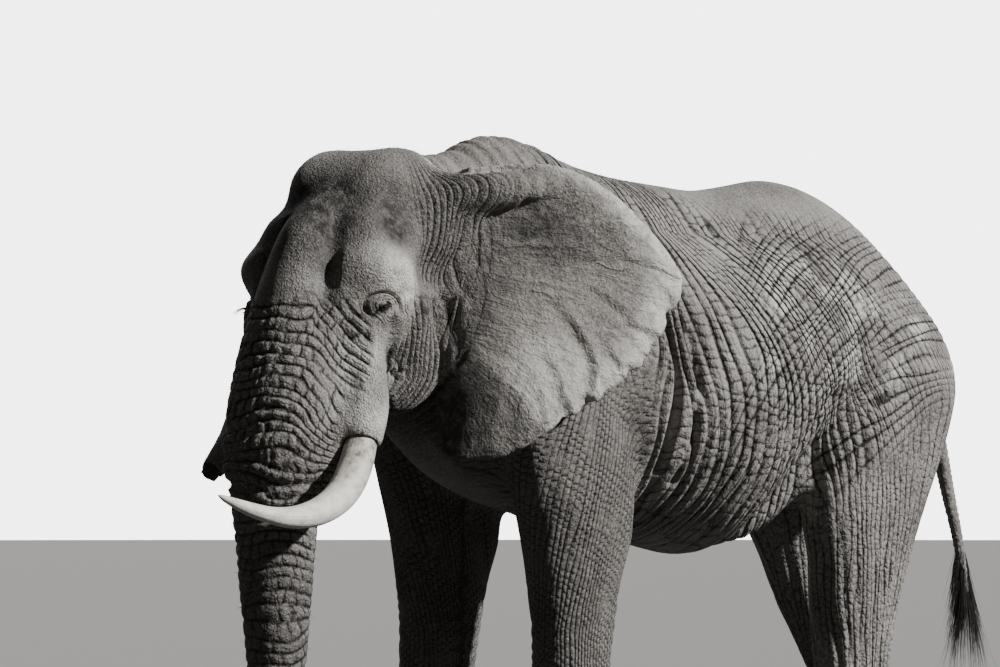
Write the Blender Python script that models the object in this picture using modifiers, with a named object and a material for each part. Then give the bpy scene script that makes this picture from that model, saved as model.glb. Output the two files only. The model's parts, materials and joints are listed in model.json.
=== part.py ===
"""African bush elephant bull, standing, at life size: one closed solid for each part of the body.

Axes: +X is the animal's left, -Y is the way it walks, +Z is up, and the floor is z = 0.
All stations are first given from the point on the floor below the withers. The finished solids
are then moved so that the middle of the animal's box stands on the origin.
"""
import bmesh
import bpy
import numpy as np
from math import cos, pi, radians, sin
from mathutils import Matrix, Vector

SHOULDER_HEIGHT = 3.30           # floor to the top of the withers
MIDDLE = Vector((-0.0395, 0.4464, 0))  # middle of the animal's box, from the point below the withers
GAP = 0.0006                     # clear space left between neighbouring solids
VOXEL = 0.035                    # grain of the fused body before it is thinned
BODY_TRIANGLES = 2960            # what the fused body is thinned to before it is divided

HEAD_TURN = radians(19)          # the head looks this far to the animal's left
NECK_JOINT = np.array([0.0, -0.508, 0.0])
FORWARD = np.array([sin(HEAD_TURN), -cos(HEAD_TURN), 0.0])
LEFT = np.array([cos(HEAD_TURN), sin(HEAD_TURN), 0.0])
UP = np.array([0.0, 0.0, 1.0])

# Trunk of the body: back from the withers, top, bottom, half width, level of that width, roundness.
TORSO = [
    (-0.55, 2.96, 1.96, 0.280, 2.47, 2.00),
    (-0.28, 3.17, 1.73, 0.375, 2.38, 2.00),
    (0.00, SHOULDER_HEIGHT, 1.60, 0.490, 2.28, 1.90),
    (0.19, 3.29, 1.55, 0.573, 2.24, 1.85),
    (0.46, 3.19, 1.48, 0.647, 2.17, 1.90),
    (0.69, 3.14, 1.43, 0.702, 2.14, 1.95),
    (0.97, 3.11, 1.39, 0.735, 2.14, 2.00),
    (1.25, 3.09, 1.365, 0.735, 2.17, 2.00),
    (1.48, 3.12, 1.57, 0.700, 2.24, 2.00),
    (1.71, 3.155, 1.80, 0.645, 2.33, 1.95),
    (1.94, 3.10, 1.82, 0.573, 2.42, 1.95),
    (2.17, 2.955, 1.86, 0.495, 2.45, 2.00),
    (2.35, 2.77, 1.95, 0.385, 2.42, 2.00),
    (2.49, 2.57, 2.08, 0.240, 2.37, 2.00),
    (2.55, 2.46, 2.19, 0.110, 2.33, 2.00),
]
# Neck: back from the withers, middle height, half width, half height, across.
NECK = [
    (-0.785, 2.65, 0.330, 0.462, 0.083),
    (-0.554, 2.615, 0.345, 0.554, 0.018),
    (-0.277, 2.54, 0.375, 0.665, 0.0),
    (0.00, 2.45, 0.435, 0.776, 0.0),
    (0.32, 2.375, 0.480, 0.850, 0.0),
]
# Legs: height, half width, half length, out from the middle, forward (-) or back (+) of its line.
FORE_LEG = [
    (-0.10, 0.225, 0.240, 0.385, 0.00),
    (0.08, 0.235, 0.255, 0.385, -0.01),
    (0.22, 0.195, 0.215, 0.385, 0.00),
    (0.40, 0.163, 0.178, 0.385, 0.01),
    (0.62, 0.155, 0.172, 0.385, 0.00),
    (0.82, 0.160, 0.186, 0.385, -0.01),
    (1.035, 0.166, 0.204, 0.390, 0.00),
    (1.22, 0.177, 0.231, 0.396, 0.00),
    (1.43, 0.194, 0.282, 0.405, 0.01),
    (1.68, 0.208, 0.325, 0.420, -0.02),
    (1.96, 0.208, 0.360, 0.425, -0.07),
    (2.24, 0.194, 0.370, 0.405, -0.10),
    (2.56, 0.157, 0.314, 0.330, -0.06),
    (2.84, 0.110, 0.222, 0.240, 0.00),
]
HIND_LEG = [
    (-0.10, 0.185, 0.240, 0.370, -0.02),
    (0.08, 0.195, 0.255, 0.370, -0.02),
    (0.22, 0.165, 0.212, 0.370, 0.00),
    (0.42, 0.143, 0.170, 0.370, 0.03),
    (0.65, 0.146, 0.176, 0.375, 0.04),
    (0.90, 0.158, 0.205, 0.380, 0.01),
    (1.13, 0.173, 0.246, 0.388, -0.02),
    (1.34, 0.187, 0.282, 0.390, -0.02),
    (1.54, 0.205, 0.340, 0.390, -0.03),
    (1.73, 0.213, 0.370, 0.385, 0.00),
    (1.95, 0.231, 0.420, 0.378, 0.01),
    (2.15, 0.240, 0.455, 0.370, 0.00),
    (2.38, 0.238, 0.440, 0.335, -0.03),
    (2.65, 0.215, 0.360, 0.260, -0.12),
    (2.88, 0.160, 0.255, 0.185, -0.20),
]
# Each leg: side, foot's place back, its upper end's place back, and the height where that ends.
LEGS = {
    "foreleg_left": (FORE_LEG, 1, 0.245, 0.225, 2.0),
    "foreleg_right": (FORE_LEG, -1, 0.015, 0.135, 2.0),
    "hindleg_left": (HIND_LEG, 1, 1.86, 2.15, 2.2),
    "hindleg_right": (HIND_LEG, -1, 2.68, 2.15, 2.2),
}
# Trunk: forward of the neck joint, height, half width, half depth.
TRUNK = [
    (0.270, 2.95, 0.170, 0.150),
    (0.460, 2.80, 0.200, 0.225),
    (0.556, 2.67, 0.195, 0.258),
    (0.700, 2.40, 0.225, 0.258),
    (0.800, 2.15, 0.250, 0.252),
    (0.868, 1.92, 0.255, 0.240),
    (0.893, 1.74, 0.250, 0.236),
    (0.905, 1.62, 0.205, 0.206),
    (0.908, 1.46, 0.179, 0.186),
    (0.906, 1.22, 0.159, 0.163),
    (0.902, 0.99, 0.140, 0.142),
    (0.898, 0.76, 0.121, 0.122),
    (0.894, 0.53, 0.103, 0.104),
    (0.884, 0.30, 0.089, 0.089),
    (0.858, 0.15, 0.082, 0.078),
    (0.806, 0.075, 0.072, 0.060),
]
# Head: left, forward, height, half width, half length, half height, nod in degrees.
SKULL = [
    (0.0, 0.235, 2.765, 0.340, 0.385, 0.435, 0),   # brain case
    (0.0, 0.545, 2.62, 0.190, 0.305, 0.32, 20),    # nose ridge between the eyes
    (0.0, 0.620, 1.91, 0.095, 0.190, 0.09, 42),    # lower lip
]
HEAD_PAIRS = [
    (0.150, 0.190, 2.955, 0.180, 0.350, 0.255, 0),   # crown lobe
    (0.205, 0.410, 2.760, 0.170, 0.250, 0.190, 10),  # side of the forehead
    (0.272, 0.505, 2.635, 0.132, 0.215, 0.165, 12),  # brow and eye socket
    (0.260, 0.070, 2.860, 0.170, 0.250, 0.255, 0),   # behind the temple
    (0.360, -0.05, 2.900, 0.125, 0.170, 0.205, 0),   # base of the ear
    (0.262, 0.430, 2.400, 0.150, 0.310, 0.250, 15),  # cheek
    (0.222, 0.277, 2.225, 0.166, 0.310, 0.220, 25),  # back of the jaw
    (0.105, 0.540, 2.020, 0.115, 0.220, 0.125, 35),  # lower jaw
    (0.205, 0.800, 1.780, 0.074, 0.110, 0.145, 0),   # pad beside the mouth
]
# The fold of loose skin from the belly up to the thigh: out, back, height, radius.
FLANK_FOLD = [
    (0.160, 1.12, 1.48, 0.10),
    (0.170, 1.40, 1.56, 0.14),
    (0.210, 1.62, 1.74, 0.16),
    (0.260, 1.84, 1.98, 0.17),
]
# Tusk sheaths: left, forward, height, radius.
LEFT_SHEATH = [
    (0.240, 0.570, 2.375, 0.110),
    (0.275, 0.610, 2.210, 0.115),
    (0.308, 0.662, 2.045, 0.111),
    (0.330, 0.722, 1.902, 0.099),
    (0.340, 0.748, 1.845, 0.092),
]
RIGHT_SHEATH = [
    (0.238, 0.570, 2.375, 0.106),
    (0.268, 0.610, 2.210, 0.108),
    (0.300, 0.668, 2.045, 0.102),
    (0.330, 0.735, 1.915, 0.080),
    (0.356, 0.790, 1.835, 0.066),
    (0.393, 0.868, 1.725, 0.058),
]
TUSK = [  # the whole left tusk, from inside its sheath
    (0.312, 0.680, 1.985, 0.068),
    (0.337, 0.739, 1.862, 0.073),
    (0.388, 0.918, 1.675, 0.075),
    (0.424, 1.216, 1.557, 0.062),
    (0.407, 1.491, 1.546, 0.041),
    (0.333, 1.682, 1.603, 0.022),
    (0.296, 1.745, 1.635, 0.009),
]
BROKEN_TUSK = [  # what is left of the right one, worn off flush with the end of its sheath
    (0.330, 0.735, 1.915, 0.038),
    (0.356, 0.790, 1.835, 0.040),
    (0.399, 0.882, 1.706, 0.041),
]
EYE = (0.361, 0.600, 2.462)      # left, forward, height of an eyeball's centre
EYE_RADIUS = 0.027

# Ear: the line it grows from, top to bottom: share of the way, left, forward, height.
EAR_ROOT = [
    (0.00, 0.230, -0.060, 3.060),
    (0.20, 0.300, 0.000, 2.930),
    (0.45, 0.325, 0.080, 2.670),
    (0.70, 0.330, 0.110, 2.393),
    (1.00, 0.330, 0.130, 2.120),
]
# Its free edge, from the top round to the front of the lobe: share of the way, left, back, height.
EAR_EDGE = [
    (0.00, 0.430, -0.400, 3.110),
    (0.07, 0.554, -0.110, 3.135),
    (0.17, 0.665, 0.176, 3.040),
    (0.27, 0.739, 0.379, 2.855),
    (0.36, 0.781, 0.517, 2.680),
    (0.41, 0.785, 0.559, 2.587),
    (0.47, 0.785, 0.499, 2.467),
    (0.55, 0.785, 0.342, 2.255),
    (0.64, 0.776, 0.152, 2.107),
    (0.73, 0.748, -0.092, 1.977),
    (0.81, 0.725, -0.305, 1.848),
    (0.88, 0.690, -0.536, 1.793),
    (0.95, 0.628, -0.700, 1.825),
    (1.00, 0.573, -0.690, 1.960),
]
# The thick roll along its top, growing out of the head: left, forward, height, radius.
EAR_ROLL = [
    (0.200, 0.120, 2.95, 0.125),
    (0.320, 0.085, 2.97, 0.115),
    (0.430, 0.030, 2.99, 0.100),
    (0.540, -0.080, 3.01, 0.092),
    (0.650, -0.200, 3.03, 0.075),
    (0.740, -0.310, 3.01, 0.055),
]
EAR_THICKNESS = 0.028
EAR_BOW = 0.15                   # how far the blade bulges outward between root and edge
EAR_CURL = 0.38                  # how far the lobe curls in below the jaw
EAR_CURL_WAY = (-0.54, -0.84)    # the left and forward shares of the way it curls
RIGHT_EAR_FOLD = radians(-28)    # how the right ear is turned in towards the neck

TAIL = [  # left, back, height, radius
    (0.000, 2.420, 2.52, 0.085),
    (0.010, 2.560, 2.40, 0.075),
    (0.050, 2.690, 2.20, 0.060),
    (0.090, 2.775, 1.95, 0.047),
    (0.125, 2.830, 1.65, 0.036),
    (0.175, 2.865, 1.35, 0.027),
    (0.200, 2.880, 1.15, 0.022),
]
TUFT = [  # left, back, height, half width, half length
    (0.200, 2.880, 1.145, 0.018, 0.030),
    (0.206, 2.885, 1.050, 0.024, 0.055),
    (0.212, 2.890, 0.930, 0.026, 0.068),
    (0.216, 2.892, 0.800, 0.018, 0.050),
    (0.218, 2.893, 0.700, 0.006, 0.014),
]
FORE_NAILS = (-62, -22, 18, 58)  # where the nails sit round a foot, in degrees outward from its toe
HIND_NAILS = (-38, 2, 42)

SKIN = ("skin", (0.29, 0.27, 0.25), 0.85)
IVORY = ("ivory", (0.78, 0.71, 0.58), 0.35)
EYEBALL = ("eye", (0.05, 0.03, 0.02), 0.1)
NAIL = ("nail", (0.42, 0.38, 0.33), 0.6)
HAIR = ("hair", (0.03, 0.03, 0.03), 0.6)


# ---- small helpers ----------------------------------------------------------------------------

def head_point(left, forward, up):
    """Places of points of the head, from how far left and forward of the neck joint and how high."""
    left, forward, up = (np.asarray(v, float)[..., None] for v in (left, forward, up))
    return NECK_JOINT + forward * FORWARD + left * LEFT + up * UP


def flowing(stations, count):
    """Evenly spread rows on a smooth course through the stations, whose first column is the distance."""
    stations = np.asarray(stations, float)
    knots, rows = stations[:, 0], stations[:, 1:]
    at = np.linspace(knots[0], knots[-1], count)
    slopes = np.gradient(rows, knots, axis=0)
    i = np.clip(np.searchsorted(knots, at) - 1, 0, len(knots) - 2)
    span = (knots[i + 1] - knots[i])[:, None]
    s = (at - knots[i])[:, None] / span
    smooth = ((2 * s**3 - 3 * s**2 + 1) * rows[i] + (s**3 - 2 * s**2 + s) * span * slopes[i]
              + (3 * s**2 - 2 * s**3) * rows[i + 1] + (s**3 - s**2) * span * slopes[i + 1])
    return at, smooth


def by_length(points):
    """The same rows with the distance along their places put first."""
    points = np.asarray(points, float)
    steps = np.linalg.norm(np.diff(points[:, :3], axis=0), axis=1)
    return np.column_stack([np.concatenate([[0], np.cumsum(steps)]), points])


def directions(path):
    """Unit direction of a path at each of its points."""
    steps = np.gradient(path, axis=0)
    return steps / np.linalg.norm(steps, axis=1)[:, None]


def make_material(name, colour, roughness):
    material = bpy.data.materials.get(name) or bpy.data.materials.new(name)
    material.use_nodes = True
    shader = material.node_tree.nodes["Principled BSDF"]
    shader.inputs["Base Color"].default_value = (*colour, 1)
    shader.inputs["Roughness"].default_value = roughness
    return material


def add_object(name, mesh, collection, look=SKIN):
    piece = bpy.data.objects.new(name, mesh)
    collection.objects.link(piece)
    mesh.materials.clear()
    mesh.materials.append(make_material(*look))
    return piece


def mesh_from(name, verts, faces):
    mesh = bpy.data.meshes.new(name)
    mesh.from_pydata(np.asarray(verts).tolist(), [], faces)
    mesh.update()
    return mesh


def loft(name, centres, sides, fronts, backs=None, roundness=2.0, around=40):
    """A closed tube through unlike oval sections, fanned shut at both ends.

    A section is centre + |cos|^(2/n) side + |sin|^(2/n) front, or back where the sine is negative.
    """
    backs = -fronts if backs is None else backs
    angle = np.linspace(0, 2 * pi, around, endpoint=False)
    power = 2 / np.broadcast_to(np.asarray(roundness, float), (len(centres),))[:, None]
    across = np.sign(np.cos(angle)) * np.abs(np.cos(angle)) ** power
    ahead = np.clip(np.sin(angle), 0, 1) ** power
    behind = np.clip(-np.sin(angle), 0, 1) ** power
    rings = (centres[:, None] + across[..., None] * sides[:, None]
             + ahead[..., None] * fronts[:, None] + behind[..., None] * backs[:, None])
    count = len(centres)
    verts = np.concatenate([rings.reshape(-1, 3), [rings[0].mean(0), rings[-1].mean(0)]])
    ring, a = np.meshgrid(np.arange(count - 1), np.arange(around), indexing="ij")
    b = (a + 1) % around
    low, high = ring * around, (ring + 1) * around
    sheath = np.stack([low + a, low + b, high + b, high + a], -1).reshape(-1, 4)
    a = np.arange(around)
    b = (a + 1) % around
    start = np.stack([b, a, np.full(around, count * around)], -1)
    end = np.stack([a, b, np.full(around, count * around + 1)], -1)
    end[:, :2] += (count - 1) * around
    mesh = mesh_from(name, verts, sheath.tolist() + start.tolist() + end.tolist())
    turn_outward(mesh)
    return mesh


def turn_outward(mesh):
    shape = bmesh.new()
    shape.from_mesh(mesh)
    bmesh.ops.recalc_face_normals(shape, faces=shape.faces)
    shape.to_mesh(mesh)
    shape.free()


def ellipsoid(name, left, forward, up, half_left, half_forward, half_up, nod=0.0, detail=(28, 18)):
    """A sphere stretched along the head's own directions and nodded forward."""
    place = Matrix.Translation(Vector(head_point(left, forward, up)))
    turn = Matrix.Rotation(HEAD_TURN, 4, "Z") @ Matrix.Rotation(radians(nod), 4, "X")
    stretch = Matrix.Diagonal((half_left, half_forward, half_up, 1))
    shape = bmesh.new()
    bmesh.ops.create_uvsphere(shape, u_segments=detail[0], v_segments=detail[1], radius=1,
                              matrix=place @ turn @ stretch)
    mesh = bpy.data.meshes.new(name)
    shape.to_mesh(mesh)
    shape.free()
    return mesh


def round_loft(name, path, radii, around=24):
    """A round tapering tube along a path."""
    heading = directions(path)
    sides = np.cross(heading, UP)
    sides /= np.linalg.norm(sides, axis=1)[:, None]
    fronts = np.cross(sides, heading)
    return loft(name, path, sides * radii[:, None], fronts * radii[:, None], around=around)


def head_tube(name, stations, side, count=16, around=24):
    """A round tube whose stations are left, forward, height and radius on the head."""
    _, rows = flowing(by_length(stations), count)
    path = head_point(side * rows[:, 0], rows[:, 1], rows[:, 2])
    return round_loft(name, path, rows[:, 3], around)


# ---- the fused body ---------------------------------------------------------------------------

def torso():
    y, rows = flowing(TORSO, 80)
    top, bottom, half, level, roundness = rows.T
    none = np.zeros_like(y)
    return loft("torso", np.stack([none, y, level], -1), np.stack([half, none, none], -1),
                np.stack([none, none, top - level], -1), np.stack([none, none, bottom - level], -1),
                roundness, around=56)


def neck():
    y, rows = flowing(NECK, 30)
    level, half, high, across = rows.T
    none = np.zeros_like(y)
    return loft("neck", np.stack([across, y, level], -1), np.stack([half, none, none], -1),
                np.stack([none, none, high], -1))


def leg(name, stations, side, foot, upper, top):
    """A leg from under its foot up into the body, leaning evenly from the foot's place to the hip's."""
    z, rows = flowing(stations, 60)
    half, length, out, back = rows.T
    lean = np.clip((z - 0.3) / (top - 0.3), 0, 1)
    none = np.zeros_like(z)
    centres = np.stack([side * out, foot + (upper - foot) * lean + back, z], -1)
    return loft(name, centres, np.stack([half, none, none], -1), np.stack([none, length, none], -1),
                roundness=2.15)


def trunk():
    """The trunk from the forehead to its tip: ovals square to a path in the head's middle plane."""
    stations = np.array(TRUNK)
    places = np.column_stack([0 * stations[:, 0], stations[:, 0], stations[:, 1], stations[:, 2:]])
    _, rows = flowing(by_length(places), 80)
    path = head_point(rows[:, 0], rows[:, 1], rows[:, 2])
    heading = directions(path)
    fronts = np.cross(heading, LEFT)
    fronts /= np.linalg.norm(fronts, axis=1)[:, None]
    return loft("trunk", path, rows[:, 3:4] * LEFT, rows[:, 4:5] * fronts, roundness=2.1)


def turned_in(places, side):
    """Places on the right ear, turned in towards the neck about the upright through the ear's root."""
    if side > 0:
        return places
    root = head_point(-EAR_ROOT[0][1], EAR_ROOT[0][2], 0)
    away = places - root
    c, s = cos(RIGHT_EAR_FOLD), sin(RIGHT_EAR_FOLD)
    return root + np.stack([c * away[..., 0] - s * away[..., 1],
                            s * away[..., 0] + c * away[..., 1], away[..., 2]], -1)


def masses():
    """Every overlapping form that the body is fused from."""
    forms = [torso(), neck(), trunk()]
    forms += [leg(name, *row) for name, row in LEGS.items()]
    forms += [ellipsoid("skull", *row) for row in SKULL]
    for row in HEAD_PAIRS:
        forms += [ellipsoid("head_form", side * row[0], *row[1:]) for side in (1, -1)]
    _, fold = flowing(by_length(FLANK_FOLD), 16)
    for side in (1, -1):
        forms.append(round_loft("flank_fold", fold[:, :3] * (side, 1, 1), fold[:, 3]))
    _, roll = flowing(by_length(EAR_ROLL), 16)
    for side in (1, -1):
        path = turned_in(head_point(side * roll[:, 0], roll[:, 1], roll[:, 2]), side)
        forms.append(round_loft("ear_roll", path, roll[:, 3]))
    forms.append(head_tube("sheath", LEFT_SHEATH, 1))
    forms.append(head_tube("sheath", RIGHT_SHEATH, -1))
    return forms


def fused_body(guides):
    """Fuse the forms into one closed surface, even it out, cut the soles flat and thin it."""
    shape = bmesh.new()
    for form in masses():
        shape.from_mesh(form)
    mesh = bpy.data.meshes.new("body")
    shape.to_mesh(mesh)
    shape.free()
    body = add_object("whole_body", mesh, guides)
    fuse = body.modifiers.new("fuse", "REMESH")
    fuse.mode = "VOXEL"
    fuse.voxel_size = VOXEL
    apply_modifiers(body)
    relax(body.data, 30)
    thin = body.modifiers.new("thin", "DECIMATE")
    thin.ratio = BODY_TRIANGLES / (2 * len(body.data.polygons))
    apply_modifiers(body)
    shape = bmesh.new()
    shape.from_mesh(body.data)
    every = list(shape.verts) + list(shape.edges) + list(shape.faces)
    bmesh.ops.bisect_plane(shape, geom=every, plane_co=(0, 0, 0), plane_no=(0, 0, 1), clear_inner=True)
    bmesh.ops.holes_fill(shape, edges=[e for e in shape.edges if e.is_boundary])
    bmesh.ops.triangulate(shape, faces=shape.faces)
    bmesh.ops.recalc_face_normals(shape, faces=shape.faces)
    shape.to_mesh(body.data)
    shape.free()
    return body


def relax(mesh, rounds):
    """Even the surface out without shrinking it: each round pulls points to their neighbours' mean,
    then pushes them back by a little more."""
    places = np.empty(len(mesh.vertices) * 3, np.float32)
    mesh.vertices.foreach_get("co", places)
    places = places.reshape(-1, 3).astype(float)
    ends = np.empty(len(mesh.edges) * 2, np.int32)
    mesh.edges.foreach_get("vertices", ends)
    first, second = ends.reshape(-1, 2).T
    count = len(places)
    shares = np.bincount(ends, minlength=count)[:, None]
    for _ in range(rounds):
        for step in (0.60, -0.62):
            total = np.stack([np.bincount(first, places[second, axis], count)
                              + np.bincount(second, places[first, axis], count)
                              for axis in range(3)], -1)
            places = places + step * (total / shares - places)
    mesh.vertices.foreach_set("co", places.astype(np.float32).ravel())
    mesh.update()


# ---- dividing it ------------------------------------------------------------------------------

def apply_modifiers(piece):
    graph = bpy.context.evaluated_depsgraph_get()
    mesh = bpy.data.meshes.new_from_object(piece.evaluated_get(graph))
    piece.modifiers.clear()
    piece.data = mesh


def combine(piece, cutter, operation):
    cut = piece.modifiers.new("cut", "BOOLEAN")
    cut.operation = operation
    cut.solver = "EXACT"
    cut.object = cutter
    apply_modifiers(piece)


def duplicate(piece, name, collection):
    twin = piece.copy()
    twin.data = piece.data.copy()
    twin.name = name
    collection.objects.link(twin)
    return twin


def block(name, collection, x, y, z, slope=0.0, lean=0.0, lean_from=0.0, turn=0.0, at=(0, 0, 0), grow=0.0):
    """A box between the given limits, turned about the upright through a place. Its top rises by slope
    for each metre outward, and its front leans back by lean for each metre above lean_from."""
    shape = bmesh.new()
    bmesh.ops.create_cube(shape, size=2)
    for corner in shape.verts:
        across = x[1] + grow if corner.co.x > 0 else x[0] - grow
        high = corner.co.z > 0
        height = z[1] + grow + slope * abs(across) if high else z[0] - grow
        front = y[0] - grow + lean * (height - lean_from)
        corner.co = (across, y[1] + grow if corner.co.y > 0 else front, height)
    bmesh.ops.recalc_face_normals(shape, faces=shape.faces)
    mesh = bpy.data.meshes.new(name)
    shape.to_mesh(mesh)
    shape.free()
    mesh.transform(Matrix.Translation(Vector(at)) @ Matrix.Rotation(turn, 4, "Z"))
    return add_object(name, mesh, collection)


# ---- ears, tail, nails, eyes, tusks ------------------------------------------------------------

def ear(name, side, collection, rows=8, columns=21):
    """One leaf from the root line to the free edge, bowed outward, its lobe curled in below the jaw,
    then given its thickness.

    The right ear is the left one mirrored on the head and laid a little closer to the neck.
    """
    _, root = flowing(EAR_ROOT, columns)
    _, edge = flowing(EAR_EDGE, columns)
    line = head_point(side * root[:, 0], root[:, 1], root[:, 2])
    if side < 0:
        away = edge - NECK_JOINT
        edge = head_point(-(away @ LEFT), away @ FORWARD, edge[:, 2])
    share = np.linspace(0, 1, rows)[:, None, None]
    down = np.linspace(-1, 1, columns)[None, :, None]
    bow = EAR_BOW * np.sin(pi * share) ** 0.65 * (1 - down ** 4)
    curl = EAR_CURL * (np.maximum(down - 0.54, 0) / 0.46) ** 1.05 * share ** 0.8
    leaf = line * (1 - share) + edge * share + bow * side * LEFT
    leaf = leaf + curl * (EAR_CURL_WAY[0] * side * LEFT + EAR_CURL_WAY[1] * FORWARD)
    leaf = turned_in(leaf, side)
    i, j = np.meshgrid(np.arange(rows - 1), np.arange(columns - 1), indexing="ij")
    k = i * columns + j
    faces = np.stack([k, k + columns, k + columns + 1, k + 1], -1).reshape(-1, 4)
    mesh = mesh_from(name, leaf.reshape(-1, 3), faces.tolist())
    piece = add_object(name, mesh, collection)
    wall = piece.modifiers.new("wall", "SOLIDIFY")
    wall.thickness = EAR_THICKNESS
    wall.offset = 0
    apply_modifiers(piece)
    shape = bmesh.new()
    shape.from_mesh(piece.data)
    bmesh.ops.triangulate(shape, faces=shape.faces)
    bmesh.ops.recalc_face_normals(shape, faces=shape.faces)
    shape.to_mesh(piece.data)
    shape.free()
    return piece


def largest_body(piece):
    """Keep only the largest connected body of a piece, dropping slivers left by a cut."""
    shape = bmesh.new()
    shape.from_mesh(piece.data)
    unseen, bodies = set(shape.verts), []
    while unseen:
        stack, body = [unseen.pop()], []
        while stack:
            corner = stack.pop()
            body.append(corner)
            for edge in corner.link_edges:
                other = edge.other_vert(corner)
                if other in unseen:
                    unseen.remove(other)
                    stack.append(other)
        bodies.append(body)
    bodies.sort(key=len)
    for body in bodies[:-1]:
        bmesh.ops.delete(shape, geom=body, context="VERTS")
    shape.to_mesh(piece.data)
    shape.free()
    return len(bodies)


def grown_copy(piece, name, amount, collection):
    """A copy whose surface is pushed outward by a small amount."""
    twin = duplicate(piece, name, collection)
    push = twin.modifiers.new("push", "DISPLACE")
    push.strength = amount
    push.mid_level = 0
    apply_modifiers(twin)
    return twin


def seat(piece, host, guides):
    """Cut the pocket in which a piece sits, a thin gap wider than the piece itself."""
    combine(host, grown_copy(piece, piece.name + "_pocket", 2 * GAP, guides), "DIFFERENCE")


def nail_place(row, degrees):
    """Where and how a unit sphere becomes one nail: a flattened oval half sunk in the front of a foot."""
    stations, side, foot, _, _ = row
    _, half, length, out, back = stations[1]
    turn = radians(degrees) * side
    reach = Vector((half * sin(turn), -length * cos(turn), 0))
    place = Vector((side * out, foot + back, 0.078)) + reach * 0.985
    facing = Matrix.Rotation(turn, 4, "Z") @ Matrix.Rotation(radians(-14), 4, "X")
    stretch = Matrix.Diagonal((0.047, 0.020, 0.050, 1))
    return Matrix.Translation(place) @ facing @ stretch


def nail(name, place, collection):
    shape = bmesh.new()
    bmesh.ops.create_uvsphere(shape, u_segments=7, v_segments=4, radius=1, matrix=place)
    bmesh.ops.triangulate(shape, faces=shape.faces)
    mesh = bpy.data.meshes.new(name)
    shape.to_mesh(mesh)
    shape.free()
    return add_object(name, mesh, collection, NAIL)


def tail(collection):
    _, rows = flowing(by_length(TAIL), 13)
    return add_object("tail", round_loft("tail", rows[:, :3], rows[:, 3], around=8), collection)


def tail_tuft(collection):
    """The flat brush of wiry hair at the end of the tail, starting just below the tail itself."""
    _, rows = flowing(by_length(TUFT), 9)
    path = rows[:, :3] - np.array([0, 0, GAP])
    none = 0 * rows[:, 3]
    across, along_body = np.stack([rows[:, 3], none, none], -1), np.stack([none, rows[:, 4], none], -1)
    return add_object("tail_tuft", loft("tail_tuft", path, across, along_body, around=8), collection, HAIR)


def take_off(rest, name, guides, parts, **limits):
    """Take what lies inside a block as its own piece, and leave the rest a thin gap away from it."""
    inside = block(name + "_block", guides, **limits)
    around = block(name + "_block_grown", guides, grow=GAP, **limits)
    piece = duplicate(rest, name, parts)
    combine(piece, inside, "INTERSECT")
    combine(rest, around, "DIFFERENCE")
    return piece


def divide(body, guides, parts):
    """Cut the fused body into the torso, neck, head, three lengths of trunk and four legs."""
    pieces = {}
    pieces["head"] = take_off(body, "head", guides, parts, x=(-1.5, 1.5), y=(-3, -0.02), z=(-1, 5),
                              turn=HEAD_TURN, at=NECK_JOINT)
    for name, top in (("trunk_lower", 0.62), ("trunk_middle", 1.17), ("trunk_upper", 1.67)):
        pieces[name] = take_off(pieces["head"], name, guides, parts, x=(-2, 2), y=(-4, 2), z=(-2, top))
    pieces["neck"] = take_off(body, "neck", guides, parts, x=(-1.5, 1.5), y=(-3, -0.26), z=(-1, 5))
    for name, (_, side, _, _, _) in LEGS.items():
        x = (0.02, 1.2) if side > 0 else (-1.2, -0.02)
        if "fore" in name:
            limits = dict(y=(-1, 0.66), z=(-0.5, 1.40), slope=0.75)
        else:
            limits = dict(y=(1.30, 4), z=(-0.5, 1.30), slope=1.1, lean=0.5, lean_from=1.30)
        pieces[name] = take_off(body, name, guides, parts, x=x, **limits)
    return pieces


def build():
    for old in list(bpy.data.objects):
        bpy.data.objects.remove(old)
    parts = bpy.data.collections.new("elephant")
    guides = bpy.data.collections.new("guides")
    for collection in (parts, guides):
        bpy.context.scene.collection.children.link(collection)

    body = fused_body(guides)
    whole = grown_copy(body, "whole_body_grown", GAP, guides)
    body.name = "torso"
    guides.objects.unlink(body)
    parts.objects.link(body)
    pieces = divide(body, guides, parts)
    pieces["torso"] = body

    for name, (_, side, _, _, _) in LEGS.items():
        angles = FORE_NAILS if "fore" in name else HIND_NAILS
        for number, angle in enumerate(angles, 1):
            nail_name = f"nail_{name}_{number}"
            pieces[nail_name] = nail(nail_name, nail_place(LEGS[name], angle), parts)
            seat(pieces[nail_name], pieces[name], guides)

    for side, word in ((1, "left"), (-1, "right")):
        pieces["ear_" + word] = ear("ear_" + word, side, parts)
        combine(pieces["ear_" + word], whole, "DIFFERENCE")
        place = (side * EYE[0], EYE[1], EYE[2])
        radius = (EYE_RADIUS,) * 3
        pieces["eye_" + word] = add_object("eye_" + word, ellipsoid("eye", *place, *radius, detail=(10, 6)),
                                           parts, EYEBALL)
        seat(pieces["eye_" + word], pieces["head"], guides)

    for name, stations, side in (("tusk_left", TUSK, 1), ("tusk_right", BROKEN_TUSK, -1)):
        pieces[name] = add_object(name, head_tube(name, stations, side, 12, 10), parts, IVORY)
        seat(pieces[name], pieces["head"], guides)

    pieces["tail"] = tail(parts)
    combine(pieces["tail"], whole, "DIFFERENCE")
    pieces["tail_tuft"] = tail_tuft(parts)

    for name, piece in pieces.items():
        count = largest_body(piece)
        if count > 1:
            print("dropped slivers:", name, count - 1)
        piece.data.transform(Matrix.Translation(-MIDDLE))
    for guide in guides.objects:
        guide.hide_render = True
        guide.display_type = "WIRE"


build()
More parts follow.
